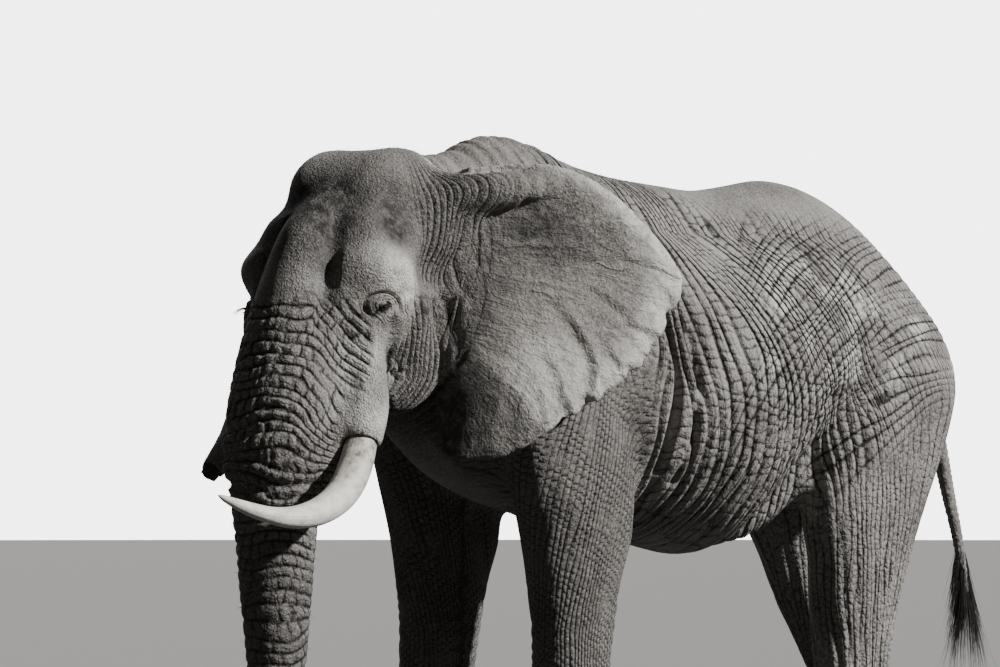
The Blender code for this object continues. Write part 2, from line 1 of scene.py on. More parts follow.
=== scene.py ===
"""African bush elephant bull, standing, at life size: its skin, eyes, tusks, nails and hair.

Places are first given in metres from the point on the floor below the withers: +X is the animal's left,
-Y is the way it walks and +Z is up. Places on the head are given by how far left and forward of the neck
joint they are, as the head is turned, and by their height. Finished meshes are moved by MIDDLE, so that
the middle of the animal's box is the origin, as in the frame.
"""
import json
from math import cos, pi, radians, sin

import bmesh
import bpy
import numpy as np
from mathutils import Matrix, Vector


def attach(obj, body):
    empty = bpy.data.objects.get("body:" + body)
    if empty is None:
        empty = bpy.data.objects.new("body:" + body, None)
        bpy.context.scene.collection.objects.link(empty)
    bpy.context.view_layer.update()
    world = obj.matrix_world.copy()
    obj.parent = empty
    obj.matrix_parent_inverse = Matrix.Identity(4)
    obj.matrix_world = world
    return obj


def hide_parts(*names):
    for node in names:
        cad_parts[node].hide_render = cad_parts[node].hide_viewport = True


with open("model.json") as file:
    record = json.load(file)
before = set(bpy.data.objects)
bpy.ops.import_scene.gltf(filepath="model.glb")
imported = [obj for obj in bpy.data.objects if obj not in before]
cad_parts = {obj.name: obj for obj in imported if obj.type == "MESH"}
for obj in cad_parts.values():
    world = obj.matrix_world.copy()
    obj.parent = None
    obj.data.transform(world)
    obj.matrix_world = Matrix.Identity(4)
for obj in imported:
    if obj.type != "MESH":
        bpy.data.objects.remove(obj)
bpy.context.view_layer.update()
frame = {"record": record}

FLESH = [row["node"] for row in frame["record"]["subparts"] if row["material_slot"] == "skin"]

MIDDLE = np.array([-0.0395, 0.4464, 0.0])  # the middle of the animal's box
SHOULDER_HEIGHT = 3.30
COARSE_GRAIN = 0.035             # voxel of the first fusing, which sets how softly forms flow together
FINE_GRAIN = 0.0095              # voxel of the skin itself
SKIN_TRIANGLES = 192000          # what the skin is thinned to

HEAD_TURN = radians(19)          # the head looks this far to the animal's left
NECK_JOINT = np.array([0.0, -0.508, 0.0])
FORWARD = np.array([sin(HEAD_TURN), -cos(HEAD_TURN), 0.0])
LEFT = np.array([cos(HEAD_TURN), sin(HEAD_TURN), 0.0])
UP = np.array([0.0, 0.0, 1.0])

# Trunk of the body: back from the withers, top, bottom, half width, level of that width, roundness.
TORSO = [
    (-0.55, 2.96, 1.96, 0.280, 2.47, 2.00),
    (-0.28, 3.17, 1.73, 0.375, 2.38, 2.00),
    (0.00, SHOULDER_HEIGHT, 1.60, 0.490, 2.28, 1.90),
    (0.19, 3.29, 1.55, 0.573, 2.24, 1.85),
    (0.46, 3.19, 1.48, 0.647, 2.17, 1.90),
    (0.69, 3.14, 1.43, 0.702, 2.14, 1.95),
    (0.97, 3.11, 1.39, 0.735, 2.14, 2.00),
    (1.25, 3.09, 1.365, 0.735, 2.17, 2.00),
    (1.48, 3.12, 1.57, 0.700, 2.24, 2.00),
    (1.71, 3.155, 1.80, 0.645, 2.33, 1.95),
    (1.94, 3.10, 1.82, 0.573, 2.42, 1.95),
    (2.17, 2.955, 1.86, 0.495, 2.45, 2.00),
    (2.35, 2.77, 1.95, 0.385, 2.42, 2.00),
    (2.49, 2.57, 2.08, 0.240, 2.37, 2.00),
    (2.55, 2.46, 2.19, 0.110, 2.33, 2.00),
]
# Neck: back from the withers, middle height, half width, half height, across.
NECK = [
    (-0.785, 2.65, 0.330, 0.462, 0.083),
    (-0.554, 2.615, 0.345, 0.554, 0.018),
    (-0.277, 2.54, 0.375, 0.665, 0.0),
    (0.00, 2.45, 0.435, 0.776, 0.0),
    (0.32, 2.375, 0.480, 0.850, 0.0),
]
# Legs: height, half width, half length, out from the middle, forward (-) or back (+) of its line.
FORE_LEG = [
    (-0.10, 0.225, 0.240, 0.385, 0.00),
    (0.08, 0.235, 0.255, 0.385, -0.01),
    (0.22, 0.195, 0.215, 0.385, 0.00),
    (0.40, 0.163, 0.178, 0.385, 0.01),
    (0.62, 0.155, 0.172, 0.385, 0.00),
    (0.82, 0.160, 0.186, 0.385, -0.01),
    (1.035, 0.166, 0.204, 0.390, 0.00),
    (1.22, 0.177, 0.231, 0.396, 0.00),
    (1.43, 0.194, 0.282, 0.405, 0.01),
    (1.68, 0.208, 0.325, 0.420, -0.02),
    (1.96, 0.208, 0.360, 0.425, -0.07),
    (2.24, 0.194, 0.370, 0.405, -0.10),
    (2.56, 0.157, 0.314, 0.330, -0.06),
    (2.84, 0.110, 0.222, 0.240, 0.00),
]
HIND_LEG = [
    (-0.10, 0.185, 0.240, 0.370, -0.02),
    (0.08, 0.195, 0.255, 0.370, -0.02),
    (0.22, 0.165, 0.212, 0.370, 0.00),
    (0.42, 0.143, 0.170, 0.370, 0.03),
    (0.65, 0.146, 0.176, 0.375, 0.04),
    (0.90, 0.158, 0.205, 0.380, 0.01),
    (1.13, 0.173, 0.246, 0.388, -0.02),
    (1.34, 0.187, 0.282, 0.390, -0.02),
    (1.54, 0.205, 0.340, 0.390, -0.03),
    (1.73, 0.213, 0.370, 0.385, 0.00),
    (1.95, 0.231, 0.420, 0.378, 0.01),
    (2.15, 0.240, 0.455, 0.370, 0.00),
    (2.38, 0.238, 0.440, 0.335, -0.03),
    (2.65, 0.215, 0.360, 0.260, -0.12),
    (2.88, 0.160, 0.255, 0.185, -0.20),
]
# Each leg: side, foot's place back, its upper end's place back, and the height where that ends.
LEGS = {
    "foreleg_left": (FORE_LEG, 1, 0.245, 0.225, 2.0),
    "foreleg_right": (FORE_LEG, -1, 0.015, 0.135, 2.0),
    "hindleg_left": (HIND_LEG, 1, 1.86, 2.15, 2.2),
    "hindleg_right": (HIND_LEG, -1, 2.68, 2.15, 2.2),
}
# Trunk: forward of the neck joint, height, half width, half depth.
TRUNK = [
    (0.270, 2.95, 0.170, 0.150),
    (0.460, 2.80, 0.200, 0.225),
    (0.556, 2.67, 0.195, 0.258),
    (0.700, 2.40, 0.225, 0.258),
    (0.800, 2.15, 0.250, 0.252),
    (0.868, 1.92, 0.255, 0.240),
    (0.893, 1.74, 0.250, 0.236),
    (0.905, 1.62, 0.205, 0.206),
    (0.908, 1.46, 0.179, 0.186),
    (0.906, 1.22, 0.159, 0.163),
    (0.902, 0.99, 0.140, 0.142),
    (0.898, 0.76, 0.121, 0.122),
    (0.894, 0.53, 0.103, 0.104),
    (0.884, 0.30, 0.089, 0.089),
    (0.858, 0.15, 0.082, 0.078),
    (0.806, 0.075, 0.072, 0.060),
]
# Head: left, forward, height, half width, half length, half height, nod in degrees.
SKULL = [
    (0.0, 0.235, 2.765, 0.340, 0.385, 0.435, 0),   # brain case
    (0.0, 0.545, 2.62, 0.190, 0.305, 0.32, 20),    # nose ridge between the eyes
    (0.0, 0.620, 1.91, 0.095, 0.190, 0.09, 42),    # lower lip
]
HEAD_PAIRS = [
    (0.150, 0.190, 2.955, 0.180, 0.350, 0.255, 0),   # crown lobe
    (0.205, 0.410, 2.760, 0.170, 0.250, 0.190, 10),  # side of the forehead
    (0.272, 0.505, 2.635, 0.132, 0.215, 0.165, 12),  # brow and eye socket
    (0.260, 0.070, 2.860, 0.170, 0.250, 0.255, 0),   # behind the temple
    (0.360, -0.05, 2.900, 0.125, 0.170, 0.205, 0),   # base of the ear
    (0.262, 0.430, 2.400, 0.150, 0.310, 0.250, 15),  # cheek
    (0.222, 0.277, 2.225, 0.166, 0.310, 0.220, 25),  # back of the jaw
    (0.105, 0.540, 2.020, 0.115, 0.220, 0.125, 35),  # lower jaw
    (0.205, 0.800, 1.780, 0.074, 0.110, 0.145, 0),   # pad beside the mouth
]
# The fold of loose skin from the belly up to the thigh: out, back, height, radius.
FLANK_FOLD = [
    (0.160, 1.12, 1.48, 0.10),
    (0.170, 1.40, 1.56, 0.14),
    (0.210, 1.62, 1.74, 0.16),
    (0.260, 1.84, 1.98, 0.17),
]
# Tusk sheaths: left, forward, height, radius.
LEFT_SHEATH = [
    (0.240, 0.570, 2.375, 0.110),
    (0.275, 0.610, 2.210, 0.115),
    (0.308, 0.662, 2.045, 0.111),
    (0.330, 0.722, 1.902, 0.099),
    (0.340, 0.748, 1.845, 0.092),
]
RIGHT_SHEATH = [
    (0.238, 0.570, 2.375, 0.106),
    (0.268, 0.610, 2.210, 0.108),
    (0.300, 0.668, 2.045, 0.102),
    (0.330, 0.735, 1.915, 0.080),
    (0.356, 0.790, 1.835, 0.066),
    (0.393, 0.868, 1.725, 0.058),
]
TUSK = [  # the whole left tusk, from inside its sheath
    (0.312, 0.680, 1.985, 0.068),
    (0.337, 0.739, 1.862, 0.073),
    (0.388, 0.918, 1.675, 0.075),
    (0.424, 1.216, 1.557, 0.062),
    (0.407, 1.491, 1.546, 0.041),
    (0.333, 1.682, 1.603, 0.022),
    (0.296, 1.745, 1.635, 0.009),
]
BROKEN_TUSK = [  # what is left of the right one, worn off flush with the end of its sheath
    (0.330, 0.735, 1.915, 0.038),
    (0.356, 0.790, 1.835, 0.040),
    (0.399, 0.882, 1.706, 0.041),
]
EYE = (0.361, 0.600, 2.462)      # left, forward, height of an eyeball's centre
EYE_RADIUS = 0.0215

# Ear: the line it grows from, top to bottom: share of the way, left, forward, height.
EAR_ROOT = [
    (0.00, 0.230, -0.060, 3.060),
    (0.20, 0.300, 0.000, 2.930),
    (0.45, 0.325, 0.080, 2.670),
    (0.70, 0.330, 0.110, 2.393),
    (1.00, 0.330, 0.130, 2.120),
]
# Its free edge, from the top round to the front of the lobe: share of the way, left, back, height.
EAR_EDGE = [
    (0.00, 0.430, -0.400, 3.110),
    (0.07, 0.554, -0.110, 3.135),
    (0.17, 0.665, 0.176, 3.040),
    (0.27, 0.739, 0.379, 2.855),
    (0.36, 0.781, 0.517, 2.680),
    (0.41, 0.785, 0.559, 2.587),
    (0.47, 0.785, 0.499, 2.467),
    (0.55, 0.785, 0.342, 2.255),
    (0.64, 0.776, 0.152, 2.107),
    (0.73, 0.748, -0.092, 1.977),
    (0.81, 0.725, -0.305, 1.848),
    (0.88, 0.690, -0.536, 1.793),
    (0.95, 0.628, -0.700, 1.825),
    (1.00, 0.573, -0.690, 1.960),
]
# The thick roll along its top, growing out of the head: left, forward, height, radius.
EAR_ROLL = [
    (0.200, 0.120, 2.95, 0.125),
    (0.320, 0.085, 2.97, 0.115),
    (0.430, 0.030, 2.99, 0.100),
    (0.540, -0.080, 3.01, 0.092),
    (0.650, -0.200, 3.03, 0.075),
    (0.740, -0.310, 3.01, 0.055),
]
EAR_THICKNESS = 0.028
EAR_BOW = 0.15                   # how far the blade bulges outward between root and edge
EAR_CURL = 0.38                  # how far the lobe curls in below the jaw
EAR_CURL_WAY = (-0.54, -0.84)    # the left and forward shares of the way it curls
RIGHT_EAR_FOLD = radians(-28)    # how the right ear is turned in towards the neck

TAIL = [  # left, back, height, radius
    (0.000, 2.420, 2.52, 0.085),
    (0.010, 2.560, 2.40, 0.075),
    (0.050, 2.690, 2.20, 0.060),
    (0.090, 2.775, 1.95, 0.047),
    (0.125, 2.830, 1.65, 0.036),
    (0.175, 2.865, 1.35, 0.027),
    (0.200, 2.880, 1.15, 0.022),
]
NAIL_SIZE = (0.047, 0.021, 0.050)  # half the width, thickness and height of a nail
NAIL_HEIGHT = 0.078
FORE_NAILS = (-62, -22, 18, 58)  # where the nails sit round a foot, in degrees outward from its toe
HIND_NAILS = (-38, 2, 42)


# ---- whole-array helpers ------------------------------------------------------------------------

def ramp(x, start, end):
    """Smooth rise from 0 at start to 1 at end; it falls instead where end is below start."""
    t = np.clip((x - start) / (end - start), 0, 1)
    return t * t * (3 - 2 * t)


def head_point(left, forward, up):
    """Places of points of the head, from how far left and forward of the neck joint and how high."""
    left, forward, up = (np.asarray(v, float)[..., None] for v in (left, forward, up))
    return NECK_JOINT + forward * FORWARD + left * LEFT + up * UP


def flowing(stations, count):
    """Evenly spread rows on a smooth course through the stations, whose first column is the distance."""
    stations = np.asarray(stations, float)
    knots, rows = stations[:, 0], stations[:, 1:]
    at = np.linspace(knots[0], knots[-1], count)
    slopes = np.gradient(rows, knots, axis=0)
    i = np.clip(np.searchsorted(knots, at) - 1, 0, len(knots) - 2)
    span = (knots[i + 1] - knots[i])[:, None]
    s = (at - knots[i])[:, None] / span
    smooth = ((2 * s**3 - 3 * s**2 + 1) * rows[i] + (s**3 - 2 * s**2 + s) * span * slopes[i]
              + (3 * s**2 - 2 * s**3) * rows[i + 1] + (s**3 - s**2) * span * slopes[i + 1])
    return at, smooth


def by_length(points):
    """The same rows with the distance along their places put first."""
    points = np.asarray(points, float)
    steps = np.linalg.norm(np.diff(points[:, :3], axis=0), axis=1)
    return np.column_stack([np.concatenate([[0], np.cumsum(steps)]), points])


def directions(path):
    """Unit direction of a path at each of its points."""
    steps = np.gradient(path, axis=0)
    return steps / np.linalg.norm(steps, axis=1)[:, None]


def unit(vectors):
    return vectors / np.linalg.norm(vectors, axis=-1, keepdims=True)


def hashed(cell, seed):
    """A pseudo-random number from 0 to 1 for each whole-number place in space."""
    n = (cell[..., 0] * 73856093) ^ (cell[..., 1] * 19349663) ^ (cell[..., 2] * 83492791)
    n = (n ^ (seed * 668265263)) & 0xFFFFFFFF
    n = ((n ^ (n >> 15)) * 2246822519) & 0xFFFFFFFF
    n = ((n ^ (n >> 13)) * 3266489917) & 0xFFFFFFFF
    return (n ^ (n >> 16)) / 4294967296.0


def noise(places, seed=0):
    """Smooth noise from -1 to 1 with a grain of one unit: hashed corners of a unit grid, blended."""
    cell = np.floor(places).astype(np.int64)
    part = places - cell
    part = part**3 * (part * (part * 6 - 15) + 10)
    total = 0.0
    for corner in np.ndindex(2, 2, 2):
        share = np.prod(np.where(corner, part, 1 - part), axis=-1)
        total = total + share * hashed(cell + np.array(corner), seed)
    return 2 * total - 1


def along(points, path):
    """For each point: distance to a path, the share of the way along it, and the length up to there.

    The nearest place is found on every straight stretch of the path and the best one is kept."""
    lengths = np.concatenate([[0], np.cumsum(np.linalg.norm(np.diff(path, axis=0), axis=1))])
    best = np.full(len(points), 1e9)
    reach = np.zeros(len(points))
    for i in range(len(path) - 1):
        step = path[i + 1] - path[i]
        s = np.clip((points - path[i]) @ step / (step @ step), 0, 1)
        away = np.linalg.norm(points - path[i] - s[:, None] * step, axis=1)
        closer = away < best
        best = np.where(closer, away, best)
        reach = np.where(closer, lengths[i] + s * (lengths[i + 1] - lengths[i]), reach)
    return best, reach / lengths[-1], reach


# ---- meshes -------------------------------------------------------------------------------------

def mesh_from(name, verts, faces):
    """A mesh from arrays of places and of faces, or from a list of faces of unlike length."""
    mesh = bpy.data.meshes.new(name)
    faces = faces.tolist() if isinstance(faces, np.ndarray) else faces
    mesh.from_pydata(np.asarray(verts).tolist(), [], faces)
    mesh.update()
    return mesh


def read(mesh, what="co"):
    """Every vertex's place, or its normal, as one array."""
    values = np.empty(len(mesh.vertices) * 3, np.float32)
    if what == "co":
        mesh.vertices.foreach_get("co", values)
    else:
        mesh.vertex_normals.foreach_get("vector", values)
    return values.reshape(-1, 3).astype(float)


def write(mesh, places):
    mesh.vertices.foreach_set("co", places.astype(np.float32).ravel())
    mesh.update()


def turn_outward(mesh):
    """Make every face of a closed mesh point outwards."""
    shape = bmesh.new()
    shape.from_mesh(mesh)
    bmesh.ops.recalc_face_normals(shape, faces=shape.faces)
    shape.to_mesh(mesh)
    shape.free()


def loft(name, centres, sides, fronts, backs=None, roundness=2.0, around=40):
    """A closed tube through unlike oval sections, fanned shut at both ends.

    A section is centre + |cos|^(2/n) side + |sin|^(2/n) front, or back where the sine is negative.
    """
    backs = -fronts if backs is None else backs
    angle = np.linspace(0, 2 * pi, around, endpoint=False)
    power = 2 / np.broadcast_to(np.asarray(roundness, float), (len(centres),))[:, None]
    across = np.sign(np.cos(angle)) * np.abs(np.cos(angle)) ** power
    ahead = np.clip(np.sin(angle), 0, 1) ** power
    behind = np.clip(-np.sin(angle), 0, 1) ** power
    rings = (centres[:, None] + across[..., None] * sides[:, None]
             + ahead[..., None] * fronts[:, None] + behind[..., None] * backs[:, None])
    return tube_mesh(name, rings)


def tube_mesh(name, rings):
    """A closed mesh from a stack of rings of points, fanned shut at both ends."""
    count, around = rings.shape[:2]
    verts = np.concatenate([rings.reshape(-1, 3), [rings[0].mean(0), rings[-1].mean(0)]])
    ring, a = np.meshgrid(np.arange(count - 1), np.arange(around), indexing="ij")
    b = (a + 1) % around
    low, high = ring * around, (ring + 1) * around
    wall = np.stack([low + a, low + b, high + b, high + a], -1).reshape(-1, 4)
    a = np.arange(around)
    b = (a + 1) % around
    start = np.stack([b, a, np.full(around, count * around)], -1)
    end = np.stack([a, b, np.full(around, count * around + 1)], -1)
    end[:, :2] += (count - 1) * around
    mesh = mesh_from(name, verts, wall.tolist() + start.tolist() + end.tolist())
    turn_outward(mesh)
    return mesh


def ellipsoid(name, left, forward, up, half_left, half_forward, half_up, nod=0.0):
    """A sphere stretched along the head's own directions and nodded forward."""
    place = Matrix.Translation(Vector(head_point(left, forward, up)))
    turn = Matrix.Rotation(HEAD_TURN, 4, "Z") @ Matrix.Rotation(radians(nod), 4, "X")
    stretch = Matrix.Diagonal((half_left, half_forward, half_up, 1))
    shape = bmesh.new()
    bmesh.ops.create_uvsphere(shape, u_segments=28, v_segments=18, radius=1, matrix=place @ turn @ stretch)
    mesh = bpy.data.meshes.new(name)
    shape.to_mesh(mesh)
    shape.free()
    return mesh


def tube_frame(path):
    """Directions along, to the side of and in front of a path, each square to the others."""
    heading = directions(path)
    sides = unit(np.cross(heading, UP))
    return heading, sides, np.cross(sides, heading)


def round_loft(name, path, radii, around=24):
    """A round tapering tube along a path."""
    _, sides, fronts = tube_frame(path)
    return loft(name, path, sides * radii[:, None], fronts * radii[:, None], around=around)


def head_tube(name, stations, side):
    """A round tube whose stations are left, forward, height and radius on the head."""
    _, rows = flowing(by_length(stations), 16)
    path = head_point(side * rows[:, 0], rows[:, 1], rows[:, 2])
    return round_loft(name, path, rows[:, 3])


# ---- the forms of the body ------------------------------------------------------------------------

def torso():
    y, rows = flowing(TORSO, 80)
    top, bottom, half, level, roundness = rows.T
    none = np.zeros_like(y)
    return loft("torso", np.stack([none, y, level], -1), np.stack([half, none, none], -1),
                np.stack([none, none, top - level], -1), np.stack([none, none, bottom - level], -1),
                roundness, around=56)


def neck():
    y, rows = flowing(NECK, 30)
    level, half, high, across = rows.T
    none = np.zeros_like(y)
    return loft("neck", np.stack([across, y, level], -1), np.stack([half, none, none], -1),
                np.stack([none, none, high], -1))


def leg(name, stations, side, foot, upper, top):
    """A leg from under its foot up into the body, leaning evenly from the foot's place to its upper end's."""
    z, rows = flowing(stations, 60)
    half, length, out, back = rows.T
    lean = np.clip((z - 0.3) / (top - 0.3), 0, 1)
    none = np.zeros_like(z)
    centres = np.stack([side * out, foot + (upper - foot) * lean + back, z], -1)
    return loft(name, centres, np.stack([half, none, none], -1), np.stack([none, length, none], -1),
                roundness=2.15)


def trunk_rows():
    """Centre line of the trunk, its half widths and its half depths."""
    stations = np.array(TRUNK)
    places = np.column_stack([0 * stations[:, 0], stations[:, 0], stations[:, 1], stations[:, 2:]])
    _, rows = flowing(by_length(places), 80)
    return head_point(rows[:, 0], rows[:, 1], rows[:, 2]), rows[:, 3], rows[:, 4]


def trunk():
    """The trunk from the forehead to its tip: ovals square to a path in the head's middle plane."""
    path, half, depth = trunk_rows()
    fronts = unit(np.cross(directions(path), LEFT))
    return loft("trunk", path, half[:, None] * LEFT, depth[:, None] * fronts, roundness=2.1)


def turned_in(places, side):
    """Places on the right ear, turned in towards the neck about the upright through the ear's root."""
    if side > 0:
        return places
    root = head_point(-EAR_ROOT[0][1], EAR_ROOT[0][2], 0)
    away = places - root
    c, s = cos(RIGHT_EAR_FOLD), sin(RIGHT_EAR_FOLD)
    return root + np.stack([c * away[..., 0] - s * away[..., 1],
                            s * away[..., 0] + c * away[..., 1], away[..., 2]], -1)


def body_forms():
    """Every overlapping form of flesh that the body is fused from."""
    forms = [torso(), neck(), trunk()]
    forms += [leg(name, *row) for name, row in LEGS.items()]
    forms += [ellipsoid("skull", *row) for row in SKULL]
    for row in HEAD_PAIRS:
        forms += [ellipsoid("head_form", side * row[0], *row[1:]) for side in (1, -1)]
    _, fold = flowing(by_length(FLANK_FOLD), 16)
    for side in (1, -1):
        forms.append(round_loft("flank_fold", fold[:, :3] * (side, 1, 1), fold[:, 3]))
    _, roll = flowing(by_length(EAR_ROLL), 16)
    for side in (1, -1):
        path = turned_in(head_point(side * roll[:, 0], roll[:, 1], roll[:, 2]), side)
        forms.append(round_loft("ear_roll", path, roll[:, 3]))
    forms.append(head_tube("sheath", LEFT_SHEATH, 1))
    forms.append(head_tube("sheath", RIGHT_SHEATH, -1))
    return forms


# ---- ears -----------------------------------------------------------------------------------------

# Folds of the ear: share of the way out and down where it starts and ends, half width, height.
EAR_FOLDS = [
    (0.36, 0.500, 0.90, 0.680, 0.022, 0.026),
    (0.42, 0.650, 0.80, 0.722, 0.016, 0.018),
    (0.66, 0.560, 0.98, 0.610, 0.013, 0.018),
    (0.46, 0.450, 0.80, 0.515, 0.014, 0.016),
    (0.76, 0.395, 1.00, 0.470, 0.015, 0.014),
    (0.50, 0.735, 1.00, 0.785, 0.018, 0.014),
    (0.60, 0.520, 0.95, 0.545, 0.010, 0.012),
    (0.62, 0.350, 0.98, 0.400, 0.012, 0.009),
    (0.56, 0.800, 1.00, 0.850, 0.016, 0.012),
]
# Notches in its free edge: share of the way down, half width, depth in metres.
EAR_NOTCHES = [(0.475, 0.010, 0.020), (0.590, 0.011, 0.022), (0.648, 0.009, 0.016), (0.690, 0.011, 0.013),
               (0.735, 0.012, 0.014), (0.775, 0.010, 0.016), (0.555, 0.008, 0.012)]


def ear_leaf(side, rows, columns):
    """The middle surface of an ear, on a grid of rows out from the root and columns down it.

    Straight lines from the root line to the free edge, bowed outward by a sine; stepped along the
    folds, notched along the edge, and with the lobe in front curled in below the jaw."""
    _, root = flowing(EAR_ROOT, columns)
    _, edge = flowing(EAR_EDGE, columns)
    line = head_point(side * root[:, 0], root[:, 1], root[:, 2])
    if side < 0:
        away = edge - NECK_JOINT
        edge = head_point(-(away @ LEFT), away @ FORWARD, edge[:, 2])
    share = np.linspace(0, 1, rows)[:, None]
    down = np.linspace(0, 1, columns)[None, :]
    bow = EAR_BOW * np.sin(pi * share) ** 0.65 * (1 - (2 * down - 1) ** 4)
    out = share * np.ones_like(down)
    for place, width, depth in EAR_NOTCHES:
        out = out - ramp(share, 0.75, 1.0) * depth / 0.9 * np.exp(-((down - place) / width) ** 2)
    ragged = noise(np.stack([down * 34 + 0 * share, share * 2 + 0 * down, 0 * down * share], -1), 3)
    out = out - 0.010 * ramp(share, 0.7, 1) * ragged * ramp(down, 0.3, 0.5)
    leaf = line * (1 - out[..., None]) + edge * out[..., None]
    lift = bow
    for out_a, down_a, out_b, down_b, width, height in EAR_FOLDS:
        reach = np.clip((share - out_a) / (out_b - out_a), 0, 1)
        away = (down - down_a - reach * (down_b - down_a)) / width
        grow = ramp(share, out_a - 0.10, out_a + 0.22) * (1 - 0.5 * ramp(share, 0.88, 1.0))
        behind, before = np.exp(-(away / 1.7) ** 2), -0.55 * np.exp(-(away / 0.9) ** 2)
        lift = lift - height * grow * np.where(away > 0, behind, before)
    leaf = leaf + lift[..., None] * side * LEFT
    curl = EAR_CURL * (np.maximum(down - 0.78, 0) / 0.22) ** 1.05 * share ** 0.8
    leaf = leaf + curl[..., None] * (EAR_CURL_WAY[0] * side * LEFT + EAR_CURL_WAY[1] * FORWARD)
    return turned_in(leaf, side)


def ear(name, side, rows=60, columns=150):
    """An ear as a closed sheet, thick at its root and thin along its free edge."""
    leaf = ear_leaf(side, rows, columns)
    normal = unit(np.cross(np.gradient(leaf, axis=0), np.gradient(leaf, axis=1)))
    share = np.linspace(0, 1, rows)[:, None, None]
    half = 0.5 * (EAR_THICKNESS - 0.010 * share)
    verts = np.concatenate([(leaf + half * normal).reshape(-1, 3), (leaf - half * normal).reshape(-1, 3)])
    i, j = np.meshgrid(np.arange(rows - 1), np.arange(columns - 1), indexing="ij")
    k = i * columns + j
    upper = np.stack([k, k + columns, k + columns + 1, k + 1], -1).reshape(-1, 4)
    under = rows * columns
    rim = border(rows, columns)
    after = np.roll(rim, -1)
    wall = np.stack([rim, after, after + under, rim + under], -1)
    mesh = mesh_from(name, verts, np.concatenate([upper, upper[:, ::-1] + under, wall]))
    turn_outward(mesh)
    return mesh


def border(rows, columns):
    """Numbers of a grid's outer points, once round."""
    top = np.arange(columns)
    right = np.arange(1, rows) * columns + columns - 1
    bottom = (rows - 1) * columns + np.arange(columns - 2, -1, -1)
    left = np.arange(rows - 2, 0, -1) * columns
    return np.concatenate([top, right, bottom, left])


# ---- the skin ---------------------------------------------------------------------------------------

def apply_modifiers(piece):
    """Make what a piece's modifiers give its own mesh."""
    graph = bpy.context.evaluated_depsgraph_get()
    mesh = bpy.data.meshes.new_from_object(piece.evaluated_get(graph))
    piece.modifiers.clear()
    piece.data = mesh


def joined(name, forms):
    """One object holding all the given meshes."""
    shape = bmesh.new()
    for form in forms:
        shape.from_mesh(form)
    mesh = bpy.data.meshes.new(name)
    shape.to_mesh(mesh)
    shape.free()
    piece = bpy.data.objects.new(name, mesh)
    bpy.context.scene.collection.objects.link(piece)
    return piece


def fuse(piece, grain):
    """Turn overlapping closed forms into one closed surface with an even grain."""
    change = piece.modifiers.new("fuse", "REMESH")
    change.mode = "VOXEL"
    change.voxel_size = grain
    apply_modifiers(piece)


def relax(mesh, rounds, pull=0.60, push=-0.62):
    """Even the surface out without shrinking it: each round pulls points to their neighbours' mean,
    then pushes them back by a little more."""
    places = read(mesh)
    ends = np.empty(len(mesh.edges) * 2, np.int32)
    mesh.edges.foreach_get("vertices", ends)
    first, second = ends.reshape(-1, 2).T
    count = len(places)
    shares = np.bincount(ends, minlength=count)[:, None]
    for _ in range(rounds):
        for step in (pull, push):
            total = np.stack([np.bincount(first, places[second, axis], count)
                              + np.bincount(second, places[first, axis], count)
                              for axis in range(3)], -1)
            places = places + step * (total / shares - places)
    write(mesh, places)


def cut_soles(mesh):
    """Cut the legs off level at the floor and close the soles."""
    shape = bmesh.new()
    shape.from_mesh(mesh)
    every = list(shape.verts) + list(shape.edges) + list(shape.faces)
    bmesh.ops.bisect_plane(shape, geom=every, plane_co=(0, 0, 0), plane_no=(0, 0, 1), clear_inner=True)
    rims = bmesh.ops.holes_fill(shape, edges=[e for e in shape.edges if e.is_boundary])
    bmesh.ops.poke(shape, faces=rims["faces"])
    shape.to_mesh(mesh)
    shape.free()


def subdivide(piece, levels):
    """Smooth a piece by splitting its faces a number of times."""
    change = piece.modifiers.new("smooth", "SUBSURF")
    change.levels = change.render_levels = levels
    apply_modifiers(piece)


def refine(mesh, centres, radii):
    """Split the faces near the given places once for each radius, for finer and finer grain."""
    shape = bmesh.new()
    shape.from_mesh(mesh)
    for radius in radii:
        places = np.array([face.calc_center_median() for face in shape.faces])
        near = np.min([np.linalg.norm(places - c, axis=1) for c in centres], axis=0) < radius
        faces = np.array(shape.faces[:], dtype=object)[near]
        edges = list({edge for face in faces for edge in face.edges})
        bmesh.ops.subdivide_edges(shape, edges=edges, cuts=1, use_grid_fill=True)
    shape.to_mesh(mesh)
    shape.free()


def ear_place(points, side):
    """For points near an ear: how near its middle surface, and the shares out and down there."""
    rows, columns = 26, 66
    leaf = ear_leaf(side, rows, columns).reshape(-1, 3)
    low, high = leaf.min(0) - 0.06, leaf.max(0) + 0.06
    close = np.all((points > low) & (points < high), axis=1)
    some = points[close]
    away = ((some**2).sum(1)[:, None] + (leaf**2).sum(1)[None] - 2 * some @ leaf.T)
    nearest = away.argmin(1)
    gap = np.full(len(points), 1.0)
    out = np.zeros(len(points))
    down = np.zeros(len(points))
    gap[close] = np.sqrt(np.maximum(away[np.arange(len(some)), nearest], 0))
    out[close] = (nearest // columns) / (rows - 1)
    down[close] = (nearest % columns) / (columns - 1)
    return gap, out, down


